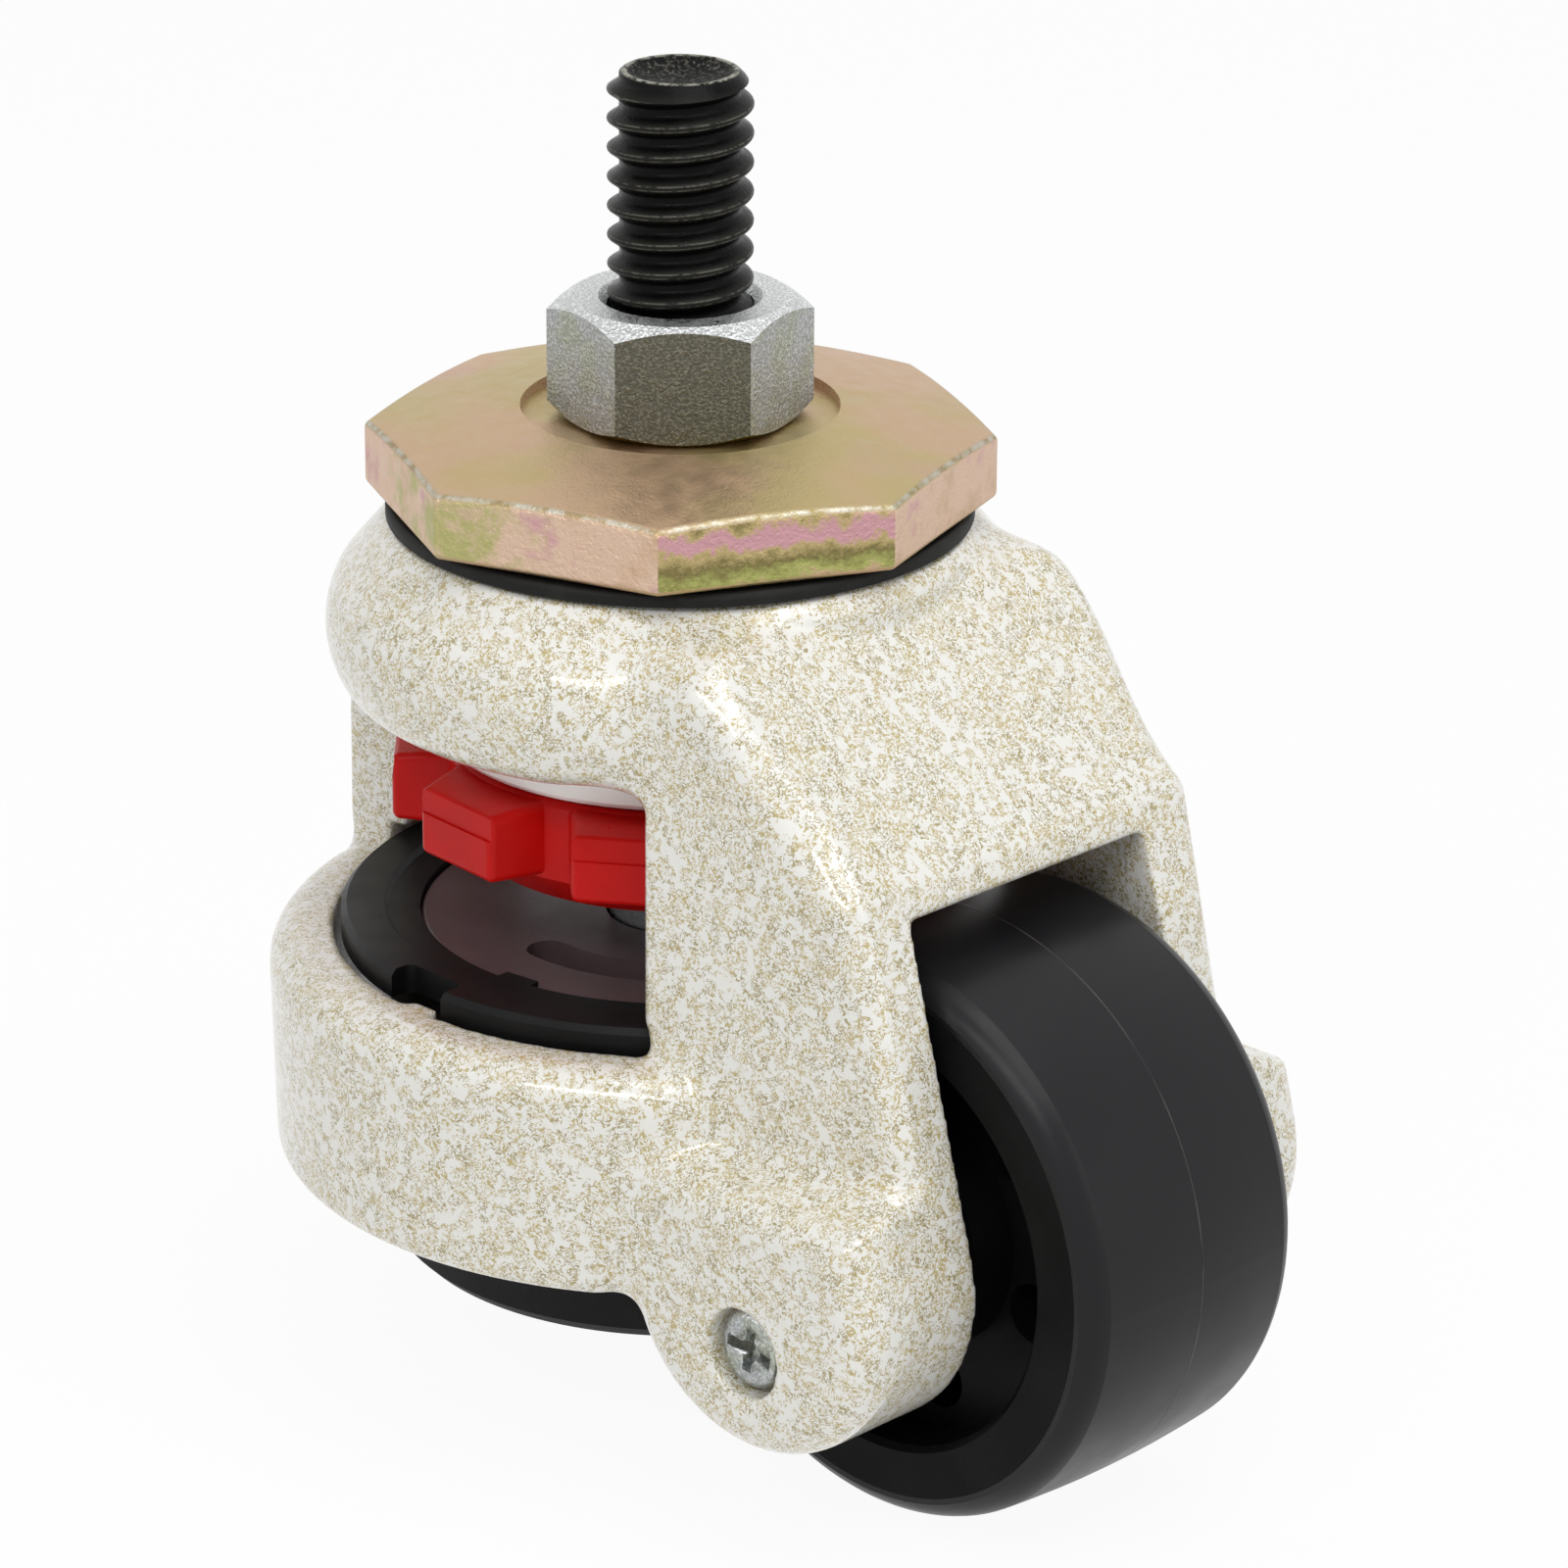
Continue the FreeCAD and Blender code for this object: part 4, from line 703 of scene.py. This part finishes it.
class StudOperator(bpy.types.Operator):
    """Threaded king bolt, blackened"""
    bl_idname = "castor.stud"
    bl_label = "Threaded stud"

    def execute(self, context):
        sizes = context.scene.castor_sizes
        root = STUD_RADIUS - sizes.thread_depth
        thread_end = NUT_BOTTOM + 1.0 * MM
        land = root + 0.04 * MM
        beyond = 1.0 * MM
        steps = 72
        piece = draw_chain("stud_thread", [(0, 0, thread_end - beyond), (land, 0, thread_end - beyond),
                                           (land, 0, STUD_TOP + beyond), (0, 0, STUD_TOP + beyond)])
        spin_chain(piece, steps)
        boolean(piece, self.add_ridge(sizes, root, steps), "UNION")
        boolean(piece, self.add_blank(thread_end), "INTERSECT")
        close_and_orient(piece, 0.002 * MM)
        smooth_by_angle(piece, 50)
        coat(black_oxide_steel(context.scene.castor_colours), piece)
        shank = self.add_shank(thread_end)
        shank.data.materials.append(piece.data.materials[0])
        activate(piece)
        shank.select_set(True)
        bpy.ops.object.join()
        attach(piece, "base")
        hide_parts("threaded_stud")
        return {"FINISHED"}

    def add_ridge(self, sizes, root, steps):
        """Worn, rounded ridge of the thread: a closed helical bar that is sunk into the core."""
        pitch = sizes.thread_pitch
        turns = 14
        turns_past_end = 1.2
        start = STUD_TOP - (turns - turns_past_end) * pitch
        # share of the pitch, share of the depth
        form = ((0.02, 0.0), (0.10, 0.03), (0.20, 0.18), (0.32, 0.55), (0.42, 0.88), (0.48, 0.98),
                (0.54, 1.0), (0.60, 0.95), (0.68, 0.72), (0.80, 0.28), (0.90, 0.06), (0.98, 0.0),
                (0.75, -0.5), (0.25, -0.5), (0.02, 0.0))
        points = [(root + share * sizes.thread_depth, 0, start + rise * pitch) for rise, share in form]
        piece = draw_chain("stud_ridge", points)
        close_and_orient(piece)
        apply_modifier(piece, "SCREW", angle=2 * math.pi, screw_offset=pitch, iterations=turns, steps=steps,
                       render_steps=steps, axis="Z")
        edit_all(piece, bpy.ops.mesh.fill_holes, sides=0)
        close_and_orient(piece)
        return piece

    def add_blank(self, thread_end):
        """Outline that the thread is cut to: a chamfered end with a shallow pressed cup."""
        side = STUD_RADIUS * 1.05
        side_fall = 2.1 * MM
        # radius and fall below the stud's end, in millimetres
        profile = ((0.0, 1.00), (1.4, 0.95), (2.8, 0.80), (3.7, 0.55), (4.2, 0.18), (4.4, 0.0), (4.65, 0.0),
                   (4.85, 0.10), (5.3, 0.55), (5.95, 1.45))
        points = [(radius * MM, 0, STUD_TOP - fall * MM) for radius, fall in profile]
        points += [(side, 0, STUD_TOP - side_fall), (side, 0, thread_end), (0, 0, thread_end)]
        blank = draw_chain("stud_blank", points)
        spin_chain(blank, 90)
        return blank

    def add_shank(self, thread_end):
        """Plain shank and round head below the thread, out of sight in the housing."""
        piece = merged_copy("threaded_stud", "king_bolt_shank")
        edit_all(piece, bpy.ops.mesh.bisect, plane_co=(0, 0, thread_end), plane_no=(0, 0, 1), use_fill=True,
                 clear_outer=True)
        close_and_orient(piece)
        smooth_by_angle(piece, 35)
        return piece


class TopOperator(bpy.types.Operator):
    """Lock nut, swivel plate and dust seal"""
    bl_idname = "castor.top"
    bl_label = "Nut, plate and seal"

    def execute(self, context):
        colours = context.scene.castor_colours
        coat(bright_zinc_steel(colours, pit_depth=0.18, plate_reflection_share=1.0), NODES["lock_nut"])
        coat(yellow_zinc_steel(colours), NODES["swivel_plate"])
        coat(moulded_rubber("nitrile_seal", "#171716"), NODES["bearing_seal"])
        return {"FINISHED"}


class HousingOperator(bpy.types.Operator):
    """Cast housing in speckled enamel, with the soft inside corners of a sand casting"""
    bl_idname = "castor.housing"
    bl_label = "Housing"

    def execute(self, context):
        sizes = context.scene.castor_sizes
        blend_passes = 150
        surface_passes = 9
        kept_faces = 0.56
        piece = merged_copy("housing", "cast_housing")
        apply_modifier(piece, "REMESH", mode="VOXEL", voxel_size=sizes.casting_grain)
        apply_modifier(piece, "SHRINKWRAP", target=NODES["housing"], wrap_method="NEAREST_SURFACEPOINT")
        self.weigh_blends(piece, sizes)
        apply_modifier(piece, "SMOOTH", factor=0.5, iterations=blend_passes, vertex_group="blends")
        apply_modifier(piece, "SMOOTH", factor=0.5, iterations=surface_passes)
        piece.vertex_groups.clear()
        apply_modifier(piece, "DECIMATE", ratio=kept_faces)
        activate(piece)
        bpy.ops.object.shade_smooth()
        coat(speckled_enamel(context.scene.castor_colours), piece)
        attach(piece, "housing")
        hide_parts("housing")
        return {"FINISHED"}

    def weigh_blends(self, piece, sizes):
        """Weights that are full along the outside's sharp inside corners and fade over a blend's reach."""
        mesh = piece.data
        count = len(mesh.vertices)
        place = np.empty(count * 3)
        mesh.vertices.foreach_get("co", place)
        place = place.reshape(-1, 3)
        normal = np.empty(count * 3)
        mesh.vertices.foreach_get("normal", normal)
        normal = normal.reshape(-1, 3)
        ends = np.empty(len(mesh.edges) * 2, dtype=int)
        mesh.edges.foreach_get("vertices", ends)
        first, second = ends.reshape(-1, 2).T
        around = np.zeros((count, 3))
        np.add.at(around, first, place[second])
        np.add.at(around, second, place[first])
        around /= np.bincount(ends, minlength=count)[:, None]
        hollow = ((around - place) * normal).sum(1)
        sharp = 0.08 * sizes.casting_grain
        corner = (hollow > sharp) & self.outside(place)
        far_off = 1.0
        distance = np.where(corner, 0.0, far_off)
        length = np.linalg.norm(place[first] - place[second], axis=1)
        steps = int(1.5 * sizes.collar_blend / sizes.casting_grain)
        for _ in range(steps):
            np.minimum.at(distance, first, distance[second] + length)
            np.minimum.at(distance, second, distance[first] + length)
        reach = np.where(place[:, 2] > WINDOW_TOP - 1.0 * MM, sizes.collar_blend, sizes.ring_blend)
        share = np.clip(1.0 - distance / reach, 0.0, 1.0)
        weight = share * share * (3 - 2 * share)
        group = piece.vertex_groups.new(name="blends")
        least = 0.005
        for index in np.nonzero(weight > least)[0]:
            group.add([int(index)], float(weight[index]), "REPLACE")

    def outside(self, place):
        """Which points lie on the casting's outside, away from its bores, windows and the wheel's space."""
        x, y, z = place.T
        radius = np.hypot(x, y)
        in_bore = radius < BORE_RADIUS + 0.6 * MM
        in_cup = (radius < CUP_RADIUS + 2.0 * MM) & (z > WINDOW_TOP)
        in_fork = (np.abs(y) < FORK_HALF_GAP + 0.6 * MM) & (x > 0)
        window = (z > WINDOW_BOTTOM - 0.3 * MM) & (z < WINDOW_TOP + 0.3 * MM) & (x < WINDOW_FRONT + 2.0 * MM)
        in_screw_hole = np.hypot(x - SCREW_AXIS.x, z - SCREW_AXIS.z) < SCREW_HOLE_RADIUS + 0.8 * MM
        return ~((in_bore & (z < WINDOW_TOP)) | in_cup | in_fork | window | in_screw_hole)


class KnobOperator(bpy.types.Operator):
    """Thrust washer, adjusting knob and its screw"""
    bl_idname = "castor.knob"
    bl_label = "Knob and washer"

    def execute(self, context):
        colours = context.scene.castor_colours
        coat(moulded_nylon("red_nylon", colours.red_nylon, roughness=0.32, grain_depth=0.012, subsurface=0.06,
                           shine_level=0.14), NODES["adjusting_knob"])
        coat(moulded_nylon("white_acetal", colours.washer, roughness=0.30, grain_depth=0.006, subsurface=0.05,
                           shine_level=0.4), NODES["thrust_washer"])
        coat(ground_steel("screw_steel", "#B4B6B8", 0.3), NODES["adjusting_screw"], NODES["snap_ring"])
        return {"FINISHED"}


class PadOperator(bpy.types.Operator):
    """Levelling pad: body, plate, sleeve and sole"""
    bl_idname = "castor.pad"
    bl_label = "Levelling pad"

    def execute(self, context):
        colours = context.scene.castor_colours
        coat(moulded_nylon("pad_nylon", colours.black_nylon, roughness=0.40, grain_depth=0.015,
                           shine_level=0.14), NODES["pad_body"])
        coat(moulded_nylon("plate_nylon", colours.pad_plate, roughness=0.40, grain_depth=0.012,
                           shine_level=0.3), NODES["pad_plate"])
        coat(moulded_rubber("sole_rubber", "#101010"), NODES["pad_sole"])
        coat(ground_steel("turned_brass", "#C8A25C", 0.28), NODES["threaded_sleeve"])
        return {"FINISHED"}


class WheelOperator(bpy.types.Operator):
    """Wheel, its bearings and axle"""
    bl_idname = "castor.wheel"
    bl_label = "Wheel"

    def execute(self, context):
        colours = context.scene.castor_colours
        coat(tread_urethane(colours), NODES["wheel_tyre"])
        coat(moulded_nylon("core_nylon", colours.black_nylon, roughness=0.34, grain_depth=0.01,
                           shine_level=0.05), NODES["wheel_core"])
        coat(ground_steel("bearing_steel", "#BFC1C3", 0.22), NODES["bearing_outer_rings"],
             NODES["bearing_inner_rings"], NODES["axle_spacer"], NODES["leg_washers"], NODES["wheel_axle"])
        return {"FINISHED"}


class SwivelOperator(bpy.types.Operator):
    """Swivel bearing inside the housing"""
    bl_idname = "castor.swivel"
    bl_label = "Swivel bearing"

    def execute(self, context):
        coat(ground_steel("race_steel", "#BFC1C3", 0.25), NODES["king_sleeve"], NODES["plate_race"],
             NODES["housing_race"], NODES["lower_race"], NODES["upper_balls"], NODES["lower_balls"])
        return {"FINISHED"}


class ScrewOperator(bpy.types.Operator):
    """Retaining screws with a cross recess and a slot"""
    bl_idname = "castor.screws"
    bl_label = "Retaining screws"

    def execute(self, context):
        piece = merged_copy("retaining_screws", "retaining_screw_pair")
        width = context.scene.castor_sizes.recess_width
        slot_length, slot_width, slot_depth = 4.8 * MM, 1.1 * width, 0.9 * MM
        cross_length, cross_depth = 3.8 * MM, 1.15 * MM
        for face in (SCREW_LOW.y, SCREW_HIGH.y):
            boolean(piece, self.add_bar("slot", slot_length, slot_width, slot_depth, face))
            boolean(piece, self.add_bar("cross_arm", width, cross_length, cross_depth, face))
            boolean(piece, self.add_flare(face))
        close_and_orient(piece)
        smooth_by_angle(piece, 30)
        coat(bright_zinc_steel(context.scene.castor_colours, pit_depth=0.10, plate_reflection_share=0.0), piece)
        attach(piece, "housing")
        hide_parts("retaining_screws")
        return {"FINISHED"}

    def add_bar(self, name, along, upward, depth, face):
        """Box as large as a recess arm, sunk to its depth and turned as the screws stand in the photo."""
        deselect()
        turn = math.radians(9)
        bpy.ops.mesh.primitive_cube_add(size=1, location=(SCREW_AXIS.x, face, SCREW_AXIS.z),
                                        rotation=(0, turn, 0))
        bar = bpy.context.active_object
        bar.name = name
        bar.scale = (along, 2 * depth, upward)
        bpy.ops.object.transform_apply(location=True, rotation=True, scale=True)
        return bar

    def add_flare(self, face):
        """Cone that opens the middle of the recess."""
        radius = 2.2 * MM
        depth = 1.3 * MM
        inward = -1 if face > 0 else 1
        deselect()
        bpy.ops.mesh.primitive_cone_add(vertices=24, radius1=radius, radius2=0, depth=2 * depth,
                                        location=(SCREW_AXIS.x, face, SCREW_AXIS.z),
                                        rotation=(math.radians(-90 * inward), 0, 0))
        cone = bpy.context.active_object
        cone.name = "flare"
        bpy.ops.object.transform_apply(location=True, rotation=True, scale=True)
        return cone


OPERATORS = (StageOperator, StudOperator, TopOperator, HousingOperator, KnobOperator, PadOperator,
             WheelOperator, SwivelOperator, ScrewOperator)


class CastorPanel(bpy.types.Panel):
    """Lists the castor's sizes, colours and pieces"""
    bl_idname = "VIEW3D_PT_castor"
    bl_label = "Levelling castor"
    bl_space_type = "VIEW_3D"
    bl_region_type = "UI"
    bl_category = "Castor"

    def draw(self, context):
        scene = context.scene
        for group in (scene.castor_sizes, scene.castor_colours):
            for key in group.__annotations__:
                self.layout.prop(group, key)
        for operator in OPERATORS:
            self.layout.operator(operator.bl_idname)


def register():
    for item in (CastorSizes, CastorColours, *OPERATORS, CastorPanel):
        bpy.utils.register_class(item)
    bpy.types.Scene.castor_sizes = bpy.props.PointerProperty(type=CastorSizes)
    bpy.types.Scene.castor_colours = bpy.props.PointerProperty(type=CastorColours)


def unregister():
    del bpy.types.Scene.castor_sizes
    del bpy.types.Scene.castor_colours
    for item in (CastorPanel, *reversed(OPERATORS), CastorColours, CastorSizes):
        bpy.utils.unregister_class(item)


def main():
    register()
    bpy.ops.castor.stage()
    bpy.ops.castor.stud()
    bpy.ops.castor.top()
    bpy.ops.castor.housing()
    bpy.ops.castor.knob()
    bpy.ops.castor.pad()
    bpy.ops.castor.wheel()
    bpy.ops.castor.swivel()
    bpy.ops.castor.screws()


if __name__ == "__main__":
    main()
